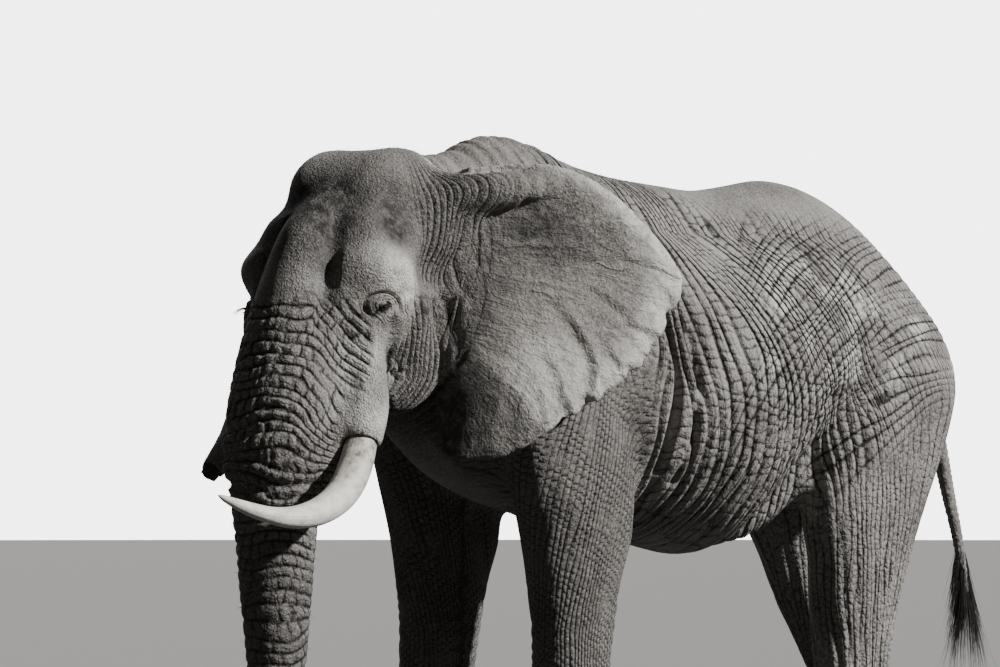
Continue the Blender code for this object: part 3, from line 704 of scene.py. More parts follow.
def survey(places):
    """What each point of the skin belongs to, as shares from 0 to 1, and its places in each region.

    x, y and z are its place, and t and l how far forward and left of the neck joint it is. On the trunk,
    reach is the length down its centre line and arc the length round it from its front, and leg_arc is the
    length round a leg. On an ear, out and down are the shares of the way out and down its blade."""
    x, y, z = places.T
    away = places - NECK_JOINT
    t, l = away @ FORWARD, away @ LEFT
    found = {"t": t, "l": l, "x": x, "y": y, "z": z}

    ear_share = np.zeros(len(places))
    out = np.zeros(len(places))
    down = np.zeros(len(places))
    for side in (1, -1):
        gap, ear_out, ear_down = ear_place(places, side)
        share = ramp(gap, 0.045, 0.028) * ramp(ear_out, 0.06, 0.16)
        closer = share > ear_share
        out, down = np.where(closer, ear_out, out), np.where(closer, ear_down, down)
        ear_share = np.maximum(ear_share, share)
    found.update(ear=ear_share, out=out, down=down)

    path, half, depth = trunk_rows()
    ahead = (t > 0.15) & (ear_share < 0.5)
    arc = np.zeros(len(places))
    gap = np.full(len(places), 9.0)
    reach = np.zeros(len(places))
    width = np.ones(len(places))
    gap[ahead], share, reach[ahead] = along(places[ahead], path[::3])
    width[ahead] = np.interp(share, np.linspace(0, 1, len(half)), np.maximum(half, depth))
    lengths = by_length(path)[:, 0]
    heart_t = np.interp(reach[ahead], lengths, path @ FORWARD) - NECK_JOINT @ FORWARD
    heart_z = np.interp(reach[ahead], lengths, path[:, 2])
    before_heart = (t[ahead] - heart_t) + 0.35 * (z[ahead] - heart_z) + 1e-6
    arc[ahead] = width[ahead] * np.arctan2(l[ahead], before_heart)
    found["arc"] = arc
    trunk_share = np.zeros(len(places))
    trunk_share[ahead] = (ramp(gap[ahead] / width[ahead], 1.60, 1.34) * ramp(z[ahead], 2.56, 2.44)
                          * ramp(t[ahead], 0.48, 0.62))
    sheath_share = np.zeros(len(places))
    for side, stations in ((1, LEFT_SHEATH), (-1, RIGHT_SHEATH)):
        _, rows = flowing(by_length(stations), 14)
        tube = head_point(side * rows[:, 0], rows[:, 1], rows[:, 2])
        near, share, _ = along(places[ahead], tube)
        fit = ramp(near, 0.150, 0.118) * ramp(share, 0.40, 0.75)
        sheath_share[ahead] = np.maximum(sheath_share[ahead], fit)
    trunk_share *= 1 - sheath_share * ramp(np.abs(l), 0.22, 0.29)
    trunk_share *= ramp(np.abs(l) - 1.2 * (t - 0.62), 0.32, 0.24)
    sheath_share *= ramp(np.abs(l), 0.20, 0.28)
    head_share = ramp(t, -0.12, 0.06) * (1 - trunk_share) * (1 - ear_share)
    leg_y = np.where(y > 1.2, np.where(x > 0, 2.0, 2.4), np.where(x > 0, 0.235, 0.07))
    round_leg = 0.24 * np.arctan2(y - leg_y, np.abs(x) - 0.39)
    found["leg_arc"] = round_leg - 0.22 * np.maximum(z - 1.0, 0) * (y < 1.2)
    fore = ramp(z, 2.35, 2.05) * ramp(y, 0.60, 0.48) * ramp(np.abs(x), 0.10, 0.22) * (1 - ear_share)
    fore *= ramp(t, 0.36, 0.26)
    hind = ramp(z - 0.75 * (y - 1.9), 1.95, 1.55) * ramp(y, 1.40, 1.60) * ramp(y, 3.2, 3.1)
    tail_path = flowing(by_length(TAIL), 16)[1]
    gap_tail = np.full(len(places), 1.0)
    behind = y > 2.35
    gap_tail[behind] = along(places[behind], tail_path[:, :3])[0]
    tail_share = ramp(gap_tail, 0.11, 0.08) * ramp(y, 2.58, 2.66)
    hind *= 1 - tail_share
    fore *= 1 - head_share
    body = np.clip(1 - head_share - trunk_share - ear_share - fore - hind - tail_share, 0, 1)
    found.update(trunk=trunk_share, reach=reach, head=head_share, sheath=sheath_share, fore=fore,
                 hind=hind, tail=tail_share, body=body)
    return regions(found, places)


# How far apart the rows of folds are, in metres.
BODY_ROWS = 0.043
HIP_ROWS = 0.046
CROWN_ROWS = 0.027
CHEEK_ROWS = 0.046
TRUNK_RINGS = 0.052


def rows_of(q, spacing, lie, seed, wander=1.0):
    """Folds a spacing apart, wandering and fading along their way. Gives the count of folds up to each
    point, which is whole in the bottom of a fold, and how strong the nearest fold is there."""
    broad = np.array([3.0 * spacing, 14 * spacing, 14 * spacing])
    count = q / spacing + wander * noise(lie / broad, seed)
    count = count + 0.35 * wander * noise(2.3 * lie / broad, seed + 1)
    strong = noise(lie / np.array([1.6 * spacing, 6 * spacing, 6 * spacing]), seed + 2)
    return count, 0.80 + 0.20 * ramp(strong, -0.40, 0.20)


def furrow(count, power=2.0):
    """1 where a count of folds is whole, falling to 0 midway to the next: a valley between round pads."""
    return (1 - np.abs((count + 0.5) % 1 - 0.5) * 2) ** power


def socket_of(places, side):
    """1 on the fold round an eye's socket and less within it; the way forward and up from the eye."""
    away = places - head_point(side * EYE[0], EYE[1], EYE[2]).reshape(3)
    a, b = away @ unit(0.92 * FORWARD - 0.39 * side * LEFT), away @ UP
    return np.hypot((a + 0.010) / 0.095, b / 0.072), a, b


def regions(found, places):
    """The parts of the body and head that each kind of fold covers, and the folds' counts and strengths.

    Folds hang from the back and slant back on their way down, then straighten. Across the hip and the
    back of the belly run rings about the thigh. On the head the folds hang behind the temple and down the
    cheek and run round the eye's socket. On the trunk they ring its centre line and climb its sides."""
    x, y, z, t, l, body, head = (found[k] for k in ("x", "y", "z", "t", "l", "body", "head"))
    wide = np.abs(x)
    fall = np.clip((2.85 - z) / 1.2, 0, 1)
    drop = 0.75 * (1 - (1 - fall) ** 2) - 0.25
    q = y
    for _ in range(20):
        q = y - (0.05 + 0.80 * ramp(q, 0.40, 1.15)) * drop
    high = z + 0.32 * ramp(y, 0.6, 1.2)
    found["flank"] = body * ramp(y, -0.05, 0.25) * (1 - 0.55 * ramp(y, 1.7, 2.2)) * ramp(high, 3.38, 3.12)
    found["body_count"], found["body_strong"] = rows_of(q, BODY_ROWS, np.stack([q, z, x], -1), 31)
    found["body_way"] = q
    found["pleats"] = (body * ramp(q, 0.38, 0.46) * ramp(q, 0.80, 0.58) * ramp(z, 2.70, 2.30)
                       * ramp(wide, 0.30, 0.45) * ramp(z, 1.40, 1.60))
    ring = np.hypot(0.9 * (y - 2.5), z - 1.3)
    low = 2.3 - np.minimum(z, 2.3)
    found["hip"] = body * ramp(y + 0.8 * low, 0.85, 1.30) * ramp(high, 3.38, 3.08) * ramp(wide, 0.12, 0.30)
    lie = np.stack([ring, 0.86 * y + 0.51 * z, x], -1)
    found["hip_count"], found["hip_strong"] = rows_of(ring, HIP_ROWS, lie, 35)
    found["hip_way"] = ring

    skin = head * (1 - found["sheath"])
    hang = rows_of(t, CROWN_ROWS, np.stack([t, z, l], -1), 51, 0.8)
    bent = t + 0.5 * np.minimum(z - 2.15, 0)
    sag = rows_of(bent, CHEEK_ROWS, np.stack([bent, z, l], -1), 53, 0.8)
    below = z < 2.52
    found["head_count"] = np.where(below, sag[0], hang[0])
    found["head_strong"] = np.where(below, 1.0, hang[1])
    found["head_way"] = t
    found["crown"] = skin * ramp(z, 2.52, 2.62) * ramp(t, 0.34, 0.20) * (1 - 0.5 * ramp(z, 3.08, 3.16))
    top = z - 0.22 * ramp(t, 0.50, 0.38)
    found["cheek"] = skin * ramp(top, 2.34, 2.25) * ramp(t, 0.64, 0.56) * ramp(np.abs(l), 0.10, 0.20)
    eye = np.zeros((2, len(places)))
    for side in (1, -1):
        socket, a, b = socket_of(places, side)
        behind = ramp(a, 0.0, -0.05) * ramp(b, 0.10, 0.02)
        share = head * ramp(socket, 0.28, 0.42) * ramp(socket, 1.7, 1.4)
        share *= np.maximum(ramp(socket, 1.16, 1.06), behind) * (np.abs(l) > 0.15) * (l * side > 0)
        count = socket / 0.24 + 1.6 * noise(places / 0.055, 57) + 0.3
        eye = np.where(share > eye[1], np.stack([count, share]), eye)
    found["eye_count"], found["eye_share"] = eye
    for k in ("crown", "cheek"):
        found[k] = found[k] * (1 - found["eye_share"])
    found["lined"] = np.minimum(found["cheek"] + found["crown"], 1)

    reach, arc = found["reach"], found["arc"]
    side_of = np.maximum(np.abs(arc) - 0.10, 0)
    climb = reach - 0.42 * ramp(np.abs(arc), 0.10, 0.34) * side_of * ramp(z, 1.7, 1.95)
    turn = climb / TRUNK_RINGS + 0.8 * noise(places / 0.24, 66) + 0.5 * noise(places / 0.7, 67)
    found["turn"] = turn + 0.22 * noise(places / 0.09, 68)
    return found


# ---- relief of the skin -----------------------------------------------------------------------------

# Hollows (depth is positive) and swellings of both sides of the head: radius, depth, then a path of
# places left, forward and up, each moved to the nearest place on the skin.
HEAD_MARKS = [
    # The hollow by the nose ridge.
    (0.034, 0.030, [(0.120, 0.620, 2.860), (0.150, 0.700, 2.710), (0.170, 0.760, 2.580),
                    (0.162, 0.800, 2.450), (0.150, 0.820, 2.370)]),
    # The swelling before the brow.
    (0.060, -0.036, [(0.240, 0.700, 2.680), (0.232, 0.715, 2.600), (0.228, 0.730, 2.520)]),
    # The temple.
    (0.085, 0.022, [(0.320, 0.400, 2.930), (0.345, 0.450, 2.830)]),
    # The bulge over the eye.
    (0.070, -0.014, [(0.350, 0.620, 2.640), (0.385, 0.520, 2.650), (0.400, 0.420, 2.600)]),
    # The crease behind the tusk's sheath.
    (0.028, 0.036, [(0.355, 0.545, 2.400), (0.375, 0.560, 2.240), (0.380, 0.580, 2.060)]),
    # The mouth.
    (0.022, 0.022, [(0.000, 0.740, 1.985), (0.100, 0.700, 1.975), (0.165, 0.600, 2.020),
                    (0.190, 0.520, 2.080)]),
    # The crease before the ear.
    (0.020, 0.026, [(0.450, -0.180, 2.880), (0.430, -0.020, 2.760), (0.420, 0.040, 2.610),
                    (0.380, 0.085, 2.390), (0.340, 0.135, 2.210)]),
    # The ridge that the ear's blade grows from.
    (0.026, -0.024, [(0.480, -0.230, 2.860), (0.450, -0.070, 2.740), (0.440, -0.015, 2.600),
                     (0.400, 0.030, 2.390), (0.360, 0.080, 2.210)]),
]
# Deep folds of the body, on both sides: radius, depth, then a path of places out, back and up.
BODY_FOLDS = [
    (0.020, 0.050, [(0.62, 0.600, 2.420), (0.66, 0.640, 2.200), (0.64, 0.630, 1.960),
                    (0.60, 0.600, 1.700)]),
    (0.018, 0.030, [(0.66, 0.700, 2.380), (0.70, 0.740, 2.150), (0.68, 0.730, 1.880),
                    (0.62, 0.700, 1.620)]),
    (0.045, 0.045, [(0.62, 1.680, 2.060), (0.62, 1.580, 1.920), (0.58, 1.500, 1.780)]),
]


def on_skin(path, places):
    """A path whose points are moved to the nearest of the skin's own points."""
    return np.array([places[((places - point) ** 2).sum(1).argmin()] for point in path])


def groove(places, path, radius):
    """1 on a path, falling off beside it as a bell with the given radius."""
    low, high = np.min(path, 0) - 3 * radius, np.max(path, 0) + 3 * radius
    close = np.all((places > low) & (places < high), axis=1)
    share = np.zeros(len(places))
    share[close] = np.exp(-(along(places[close], path)[0] / radius) ** 2)
    return share


def relief(found, places):
    """How deep the folds and creases that are real relief lie at each point, in metres."""
    y, z, t, l = (found[k] for k in "yztl")
    count = found["body_count"]
    lower = ramp(z, 2.95, 2.4)
    depth = found["flank"] * (0.004 + 0.004 * lower) * furrow(count)
    depth += found["pleats"] * 0.017 * furrow(count)
    depth += found["hip"] * 0.0045 * furrow(found["hip_count"])
    hump = found["body"] * ramp(y, 0.55, 0.30) * ramp(z, 2.5, 2.8)
    depth += hump * 0.012 * furrow(0.6 * count)

    count = found["head_count"]
    depth += found["cheek"] * 0.026 * furrow(count, 1.6)
    blocks = found["cheek"] * ramp(t, 0.36, 0.48) * ramp(z, 2.30, 2.15)
    depth += blocks * 0.024 * furrow(z / 0.060 + 0.37 * np.floor(count) + 0.8 * noise(places / 0.12, 75))
    depth += found["crown"] * 0.009 * furrow(count)

    turn, arc, rings = found["turn"], found["arc"], found["trunk"] ** 2
    rings = rings * (0.35 + 0.65 * ramp(np.abs(arc), 0.36, 0.22))
    ring_deep = ramp(noise(np.stack([0.7 * np.floor(turn + 0.5), 3 * arc, 0 * arc], -1), 64), -0.55, 0.45)
    depth += rings * (0.35 + 0.65 * ring_deep) * 0.015 * furrow(turn, 2.4)
    brick = arc / 0.060 + 0.37 * np.floor(turn) + 0.8 * noise(places / 0.10, 69)
    depth += rings * ramp(z, 1.50, 1.80) * 0.009 * furrow(brick, 2.4)
    for height, amount in ((1.655, 0.022), (1.785, 0.014), (1.905, 0.012)):
        bend = height + 0.10 * np.abs(l) + 0.02 * noise(places / 0.2, 70) - z
        wide = np.where(bend < 0, 0.035, 0.008)
        depth += rings * amount * np.exp(-(bend / wide) ** 2)

    upright = found["leg_arc"] / 0.085 + 0.8 * noise(places / (0.15, 0.15, 0.6), 71)
    depth += found["fore"] * ramp(z, 1.2, 1.4) * 0.006 * furrow(upright)
    knee = found["fore"] * ramp(np.abs(z - 0.95), 0.35, 0.15)
    depth += knee * 0.006 * furrow(z / 0.07 + 1.2 * noise(places / 0.25, 74))
    depth += found["hind"] * ramp(z, 1.7, 1.2) * 0.012 * furrow(upright)
    depth += found["tail"] * 0.005 * furrow(z / 0.030 + 0.4 * noise(places / 0.06, 77))
    depth += 0.006 * found["ear"] * (0.5 + 0.5 * noise(places / 0.12, 78)) * ramp(found["out"], 0.2, 0.5)
    veins = np.stack([found["down"] * 9 + 0.4 * noise(places / 0.2, 79), found["out"] * 1.6, 0 * y], -1)
    vein = ramp(np.abs(noise(veins, 80)), 0.10, 0.0)
    depth += 0.006 * found["ear"] * ramp(found["out"], 0.25, 0.45) * vein
    for side in (1, -1):
        for radius, amount, path in HEAD_MARKS:
            path = on_skin(head_point(*(np.array(path) * (side, 1, 1)).T), places)
            depth += amount * groove(places, path, radius)
        for radius, amount, path in BODY_FOLDS:
            depth += amount * groove(places, on_skin(np.array(path) * (side, 1, 1), places), radius)
    return depth


def eye_frame(places, normals, side):
    """Centre of an eyeball with the skin's directions there: forward along it, up along it, outward."""
    centre = head_point(side * EYE[0], EYE[1], EYE[2]).reshape(3)
    near = np.linalg.norm(places - centre, axis=1) < 0.07
    outward = unit(normals[near].sum(0))
    front = unit(FORWARD - FORWARD @ outward * outward)
    above = unit(UP - UP @ outward * outward - UP @ front * front)
    return centre, front, above, outward


OPENING = (0.0190, 0.0088)       # half the length and half the height of the gap between the lids
LOWER_LID = 0.78                 # how far the lower lid's edge bows, as a share of the upper one's
LID_CURVE = (2.4, 1.7)           # powers of the length and the height in the gap's outline
LID_SLANT = radians(14)          # how far its front corner hangs below its rear one
EYE_REACH = 0.24                 # how far from an eyeball its lids and folds shape the skin


def opening_size(a, b):
    """1 on the edge of the gap between the lids and growing away from it; a is forward, b is up."""
    c, s = cos(LID_SLANT), sin(LID_SLANT)
    a, b = c * a - s * b, s * a + c * b
    height = OPENING[1] * np.where(b > 0, 1.0, LOWER_LID)
    return np.sqrt((np.abs(a) / OPENING[0]) ** LID_CURVE[0] + (np.abs(b) / height) ** LID_CURVE[1])


def shape_lids(places, normals, side):
    """Wrap the lids round an eyeball and fold the skin about them.

    The skin is followed as a height over the plane of the eye's own directions; close to the eyeball
    it becomes a slightly larger ball, between the lids it sinks behind the eyeball, and round it run
    the crease of each lid and the deep fold of the socket."""
    centre, front, above, outward = eye_frame(places, normals, side)
    away = places - centre
    near = np.linalg.norm(away, axis=1) < EYE_REACH
    a, b, c = away[near] @ front, away[near] @ above, away[near] @ outward
    outer = c > -0.06
    r = np.hypot(a, b)
    wander = 0.10 * noise(places[near] / 0.055, 90)
    socket = socket_of(places[near], side)[0] + 0.5 * wander
    upper = ramp(b, -0.045, 0.0)
    rise = 0.010 * np.exp(-(socket / 0.8) ** 4) - 0.012 * np.exp(-((socket - 1.0) / 0.24) ** 2) * upper
    rise -= 0.022 * np.exp(-((socket - 1.0) / 0.085) ** 2) * ramp(b, -0.060, 0.0)
    for turn, depth in ((0.70, 0.010), (1.34, 0.009), (1.70, 0.009), (2.05, 0.008)):
        fades = ramp(b, -0.03, 0.01) if turn < 1 else ramp(a, -0.02, -0.08) * ramp(b, 0.08, 0.02)
        rise -= depth * np.exp(-((socket + wander - turn) / 0.060) ** 2) * fades
    gap = opening_size(a, b) + 0.5 * wander
    ball = np.sqrt(np.maximum((EYE_RADIUS + 0.0026 + 0.009 * ramp(gap, 1.0, 3.2)) ** 2 - r**2, 0))
    hug = ramp(r, 0.038, 0.024)
    rise_c = (c + rise) * (1 - hug) + hug * ball
    rise_c += 0.0012 * np.exp(-((gap - 1.22) / 0.20) ** 2)
    for turn, depth, over in ((2.1, 0.0050, 1), (3.0, 0.0040, 1), (1.9, 0.0032, -1), (2.8, 0.0035, -1)):
        rise_c -= depth * np.exp(-((gap - turn) / 0.13) ** 2) * ramp(over * b, -0.004, 0.008)
    pocket = ramp(gap, 1.04, 0.94) * ramp(r, 0.026, 0.023)
    rise_c = rise_c * (1 - pocket) + pocket * (np.sqrt(np.maximum(EYE_RADIUS**2 - r**2, 0)) - 0.012)
    fades = ramp(np.linalg.norm(away[near], axis=1), EYE_REACH, EYE_REACH - 0.05)
    moved = np.where(outer, rise_c - c, 0) * fades
    places = places.copy()
    places[near] += moved[:, None] * outward
    return places


# The hollows in the ends of the sheaths, round the tusks: sheath, side, radius, depth.
SOCKETS = [(LEFT_SHEATH, 1, 0.079, 0.030), (RIGHT_SHEATH, -1, 0.044, 0.060)]


def socket_round(places, before, rim, radius, depth):
    """Sink the end of a sheath round the tusk in it, to a depth below the rim; it comes from before."""
    course = unit(rim - before)
    away = places - rim
    reach = away @ course
    beside = np.linalg.norm(away - reach[:, None] * course, axis=1)
    inside = ramp(beside, radius + 0.004, radius - 0.002) * ramp(reach, -0.05, -0.01) * (reach < 0.16)
    moved = np.minimum(-depth - reach, 0) * inside
    return places + moved[:, None] * course


def sculpt(mesh):
    """Press the folds and creases into the smooth skin, then form the lids."""
    places, normals = read(mesh), read(mesh, "normals")
    found = survey(places)
    places = places - normals * relief(found, places)[:, None]
    for side in (1, -1):
        places = shape_lids(places, normals, side)
    write(mesh, places)


# What the hide's material reads at each point of the skin, kept as attributes of up to three numbers.
SKIN_MAPS = {
    "body_folds": ("body_count", "body_strong", "body_way"),
    "hip_folds": ("hip_count", "hip_strong", "hip_way"),
    "head_folds": ("head_count", "head_strong", "head_way"),
    "eye_folds": ("eye_count", "eye_share"),
    "trunk_folds": ("turn", "arc", "leg_arc"),
    "on_body": ("flank", "hip", "body"),
    "on_head": ("lined", "trunk", "head"),
    "on_limbs": ("fore", "hind", "ear"),
    "ear_way": ("out", "down"),
    # The worn marks are stains, dust and wear together with painted shade and painted highlight.
    "worn": ("dark", "pale", "rim"),
}


def whole_skin():
    """The one skin of body, head, trunk, ears, legs and tail."""
    base = joined("base", body_forms())
    fuse(base, COARSE_GRAIN)
    relax(base.data, 30)
    cut_soles(base.data)
    subdivide(base, 2)
    _, rows = flowing(by_length(TAIL), 40)
    skin = joined("elephant_skin", [base.data, ear("ear", 1), ear("ear", -1),
                                    round_loft("tail", rows[:, :3], rows[:, 3], around=20)])
    bpy.data.objects.remove(base)
    fuse(skin, FINE_GRAIN)
    relax(skin.data, 6)
    eyes = [head_point(side * EYE[0], EYE[1], EYE[2]).reshape(3) for side in (1, -1)]
    refine(skin.data, eyes, (0.160, 0.085, 0.048))
    ends = [head_point(side * row[-1][0], *row[-1][1:3]).reshape(3)
            for side, row in ((1, LEFT_SHEATH), (-1, RIGHT_SHEATH))]
    refine(skin.data, ends, (0.125,))
    refine(skin.data, [head_point(side * 0.37, 0.42, 2.20).reshape(3) for side in (1, -1)], (0.230,))
    sculpt(skin.data)
    relax(skin.data, 1)
    places = read(skin.data)
    for path, side, radius, depth in SOCKETS:
        rows = np.array(path)[-2:]
        course = head_point(side * rows[:, 0], rows[:, 1], rows[:, 2])
        places = socket_round(places, course[0], course[1], radius, depth)
    write(skin.data, places)
    thin = skin.modifiers.new("thin", "DECIMATE")
    thin.ratio = SKIN_TRIANGLES / sum(len(face.vertices) - 2 for face in skin.data.polygons)
    apply_modifiers(skin)
    places = read(skin.data)
    places[:, 2] = np.maximum(places[:, 2], 0)
    found = survey(places)
    found["dark"], found["pale"], found["rim"] = stains_and_painted_light(found, places)
    for name, parts in SKIN_MAPS.items():
        values = [found[key] for key in parts]
        values += [0 * found["z"]] * (3 - len(values))
        paint(skin.data, name, np.stack(values, -1))
    write(skin.data, places - MIDDLE)
    skin.data.shade_smooth()
    return skin


# Patches of both sides of the head: radius, then left, forward and up. Dark ones lie on the temple, along the
# hollow by the nose ridge, on the top of the forehead and in the crease behind the tusk's sheath; the first
# two pale ones are painted highlight on the brow.
DARK_PATCHES = [
    (0.125, 0.335, 0.430, 2.930), (0.085, 0.345, 0.480, 2.800), (0.110, 0.115, 0.620, 2.900),
    (0.066, 0.120, 0.670, 2.760), (0.052, 0.120, 0.740, 2.620), (0.046, 0.115, 0.790, 2.500),
    (0.140, 0.070, 0.600, 2.960), (0.060, 0.375, 0.560, 2.240), (0.050, 0.375, 0.600, 2.120),
]
PALE_PATCHES = [
    # The first two are painted highlight on the brow.
    (0.120, 0.375, 0.540, 2.640), (0.100, 0.385, 0.460, 2.560), (0.120, 0.300, 0.640, 2.230),
    (0.150, 0.345, 0.700, 1.960), (0.090, 0.230, 0.050, 3.160), (0.070, 0.080, 0.800, 2.560),
]


def stains_and_painted_light(found, places):
    """How much darker and paler each point of the skin is, from stains and dust and from painted shade and
    painted highlight, and how dark each point is close up to the eye, from wet skin and painted shade in its
    creases.
    """
    y, z = found["y"], found["z"]
    dark = np.zeros(len(places))
    pale = np.zeros(len(places))
    for marks, tone in ((DARK_PATCHES, dark), (PALE_PATCHES, pale)):
        for radius, l, t, up in marks:
            for side in (1, -1):
                gap = np.linalg.norm(places - head_point(side * l, t, up).reshape(3), axis=1)
                tone += np.exp(-(gap / radius) ** 2)
    out, down, ear = found["out"], found["down"], found["ear"]
    dark += 0.30 * found["trunk"] * ramp(z, 1.5, 1.3) + 0.25 * found["fore"]
    dark += 0.9 * ear * np.exp(-((out - 0.34) / 0.17) ** 2 - ((down - 0.27) / 0.12) ** 2)
    # Painted shade on the ear's front, near its root and below its upper third.
    dark += 0.8 * ear * ramp(out, 0.30, 0.10) * ramp(down, 0.3, 0.45)
    # Painted shade on the lobe, which curls in below the jaw.
    dark += 0.9 * ear * ramp(down - 0.12 * out, 0.72, 0.84)
    dark += 0.35 * ear * (1 - ramp(down, 0.08, 0.20)) + 0.22 * found["body"] * ramp(z, 2.90, 3.10)
    # Painted shade down the front of the face between the eyes.
    ridge = head_point(0.02, 0.72, 2.70).reshape(3)
    dark += 0.45 * np.exp(-(np.linalg.norm((places - ridge) * (1, 1, 0.6), axis=1) / 0.15) ** 2)
    pale += 0.8 * ear * ramp(out, 0.70, 0.95) * ramp(down, 0.75, 0.5)
    pale += 0.5 * ear * ramp(down, 0.56, 0.66) * ramp(down, 0.84, 0.74) * ramp(out, 0.25, 0.45)
    dust = noise(places / (0.5, 0.16, 0.16), 81) + 0.5 * noise(places / 0.07, 82)
    pale += (0.9 * found["body"] * ramp(y, 0.7, 1.2) * ramp(dust, -0.05, 0.55)
             * ramp(np.abs(z - 2.45), 0.45, 0.2))
    rim = np.zeros(len(places))
    for side in (1, -1):
        socket, a, b = socket_of(places, side)
        rim += 0.85 * ramp(opening_size(a, b), 2.6, 1.3) * (socket < 3)
        # Painted shade before the eye, in the fold of the socket and in the crease of the upper lid.
        rim += 0.60 * np.exp(-((a - 0.048) / 0.020) ** 2 - ((b + 0.004) / 0.030) ** 2) * (socket < 3)
        rim += 0.70 * np.exp(-((socket - 1.0) / 0.090) ** 2) * ramp(b, -0.035, 0.005)
        rim += 0.55 * np.exp(-((socket - 0.69) / 0.055) ** 2) * ramp(b, -0.015, 0.010)
    return [np.minimum(share, 1) for share in (dark, pale, rim)]


def paint(mesh, name, values):
    """Keep three numbers for each point of a mesh, for its material to read."""
    kept = mesh.attributes.new(name, "FLOAT_VECTOR", "POINT")
    kept.data.foreach_set("vector", values.astype(np.float32).ravel())


# ---- materials --------------------------------------------------------------------------------------

def linear(code):
    """A linear colour from an sRGB hex value."""
    parts = np.array([int(code[i:i + 2], 16) / 255 for i in (1, 3, 5)])
    parts = np.where(parts <= 0.04045, parts / 12.92, ((parts + 0.055) / 1.055) ** 2.4)
    return (*parts.tolist(), 1.0)


def add(tree, kind, inputs, pick=0, **settings):
    """Add a shader node and give back one of its outputs. Inputs are values, or outputs to link, by
    name or by number; settings are the node's own."""
    node = tree.nodes.new("ShaderNode" + kind)
    for key, value in settings.items():
        setattr(node, key, value)
    for key, value in inputs.items() if isinstance(inputs, dict) else enumerate(inputs):
        if isinstance(value, bpy.types.NodeSocket):
            tree.links.new(value, node.inputs[key])
        else:
            node.inputs[key].default_value = value
    return node.outputs[pick]


def new_material(name, values):
    """A named material whose shader has the given even values."""
    material = bpy.data.materials.new(name)
    material.use_nodes = True
    shader = material.node_tree.nodes["Principled BSDF"]
    for key, value in values.items():
        shader.inputs[key].default_value = value
    return material, material.node_tree, shader


def coats(tree, tone, *layers):
    """Coats of colour laid over a first one, each covering by a share from 0 to 1. A colour is an sRGB
    hex value or another node's output."""
    tone = linear(tone) if isinstance(tone, str) else tone
    for share, colour in layers:
        colour = linear(colour) if isinstance(colour, str) else colour
        tone = add(tree, "Mix", {0: share, 6: tone, 7: colour}, pick=2, data_type="RGBA")
    return tone


def dress(tree, shader, tone, height=None):
    """Give a material its colour and its relief, which is a height in metres."""
    tree.links.new(tone, shader.inputs["Base Color"])
    if height is not None:
        bump = add(tree, "Bump", {"Strength": 1.0, "Distance": 1.0, "Height": height})
        tree.links.new(bump, shader.inputs["Normal"])


def net(tree, lie, size, wander, seed):
    """0 along the borders of a net of cells of a size in metres, wandering, and 1 within the cells."""
    shift = add(tree, "TexNoise", {"Vector": lie, "Scale": 0.7 / size, "Detail": 1.0}, pick=1)
    moved = add(tree, "VectorMath", [shift, (wander,) * 3, lie], operation="MULTIPLY_ADD")
    cells = add(tree, "Mapping", {"Vector": moved, "Location": (seed,) * 3, "Scale": (1 / size,) * 3})
    border = add(tree, "TexVoronoi", {"Vector": cells, "Scale": 1.0, "Randomness": 0.9},
                 feature="DISTANCE_TO_EDGE")
    return add(tree, "Math", [border, 3.2], operation="MULTIPLY", use_clamp=True)


def folds(tree, count, lie, part, times=1.0, wander=0.0, grain=0.05):
    """0 in the bottom of each fold and 1 midway between, from a count of folds. Part is how strong they
    are. Finer folds come from counting more times over, and from a noise with the given grain in metres
    by which they wander and fade."""
    count = add(tree, "Math", [count, times], operation="MULTIPLY")
    if wander:
        shift = add(tree, "TexNoise", {"Vector": lie, "Scale": 1 / grain, "Detail": 1.5}, pick=1)
        aside, fade = (add(tree, "SeparateXYZ", [shift], pick=i) for i in (0, 1))
        count = add(tree, "Math", [aside, wander, count], operation="MULTIPLY_ADD")
        fade = add(tree, "MapRange", {"Value": fade, "From Min": 0.36, "From Max": 0.50, "To Min": 0.70})
        part = add(tree, "Math", [fade, part], operation="MULTIPLY")
    half = add(tree, "Math", [count, 0.5], operation="PINGPONG")
    half = add(tree, "Math", [half, 2.0], operation="MULTIPLY")
    lift = add(tree, "Math", [1.0, part], operation="SUBTRACT")
    return add(tree, "Math", [half, part, lift], operation="MULTIPLY_ADD")


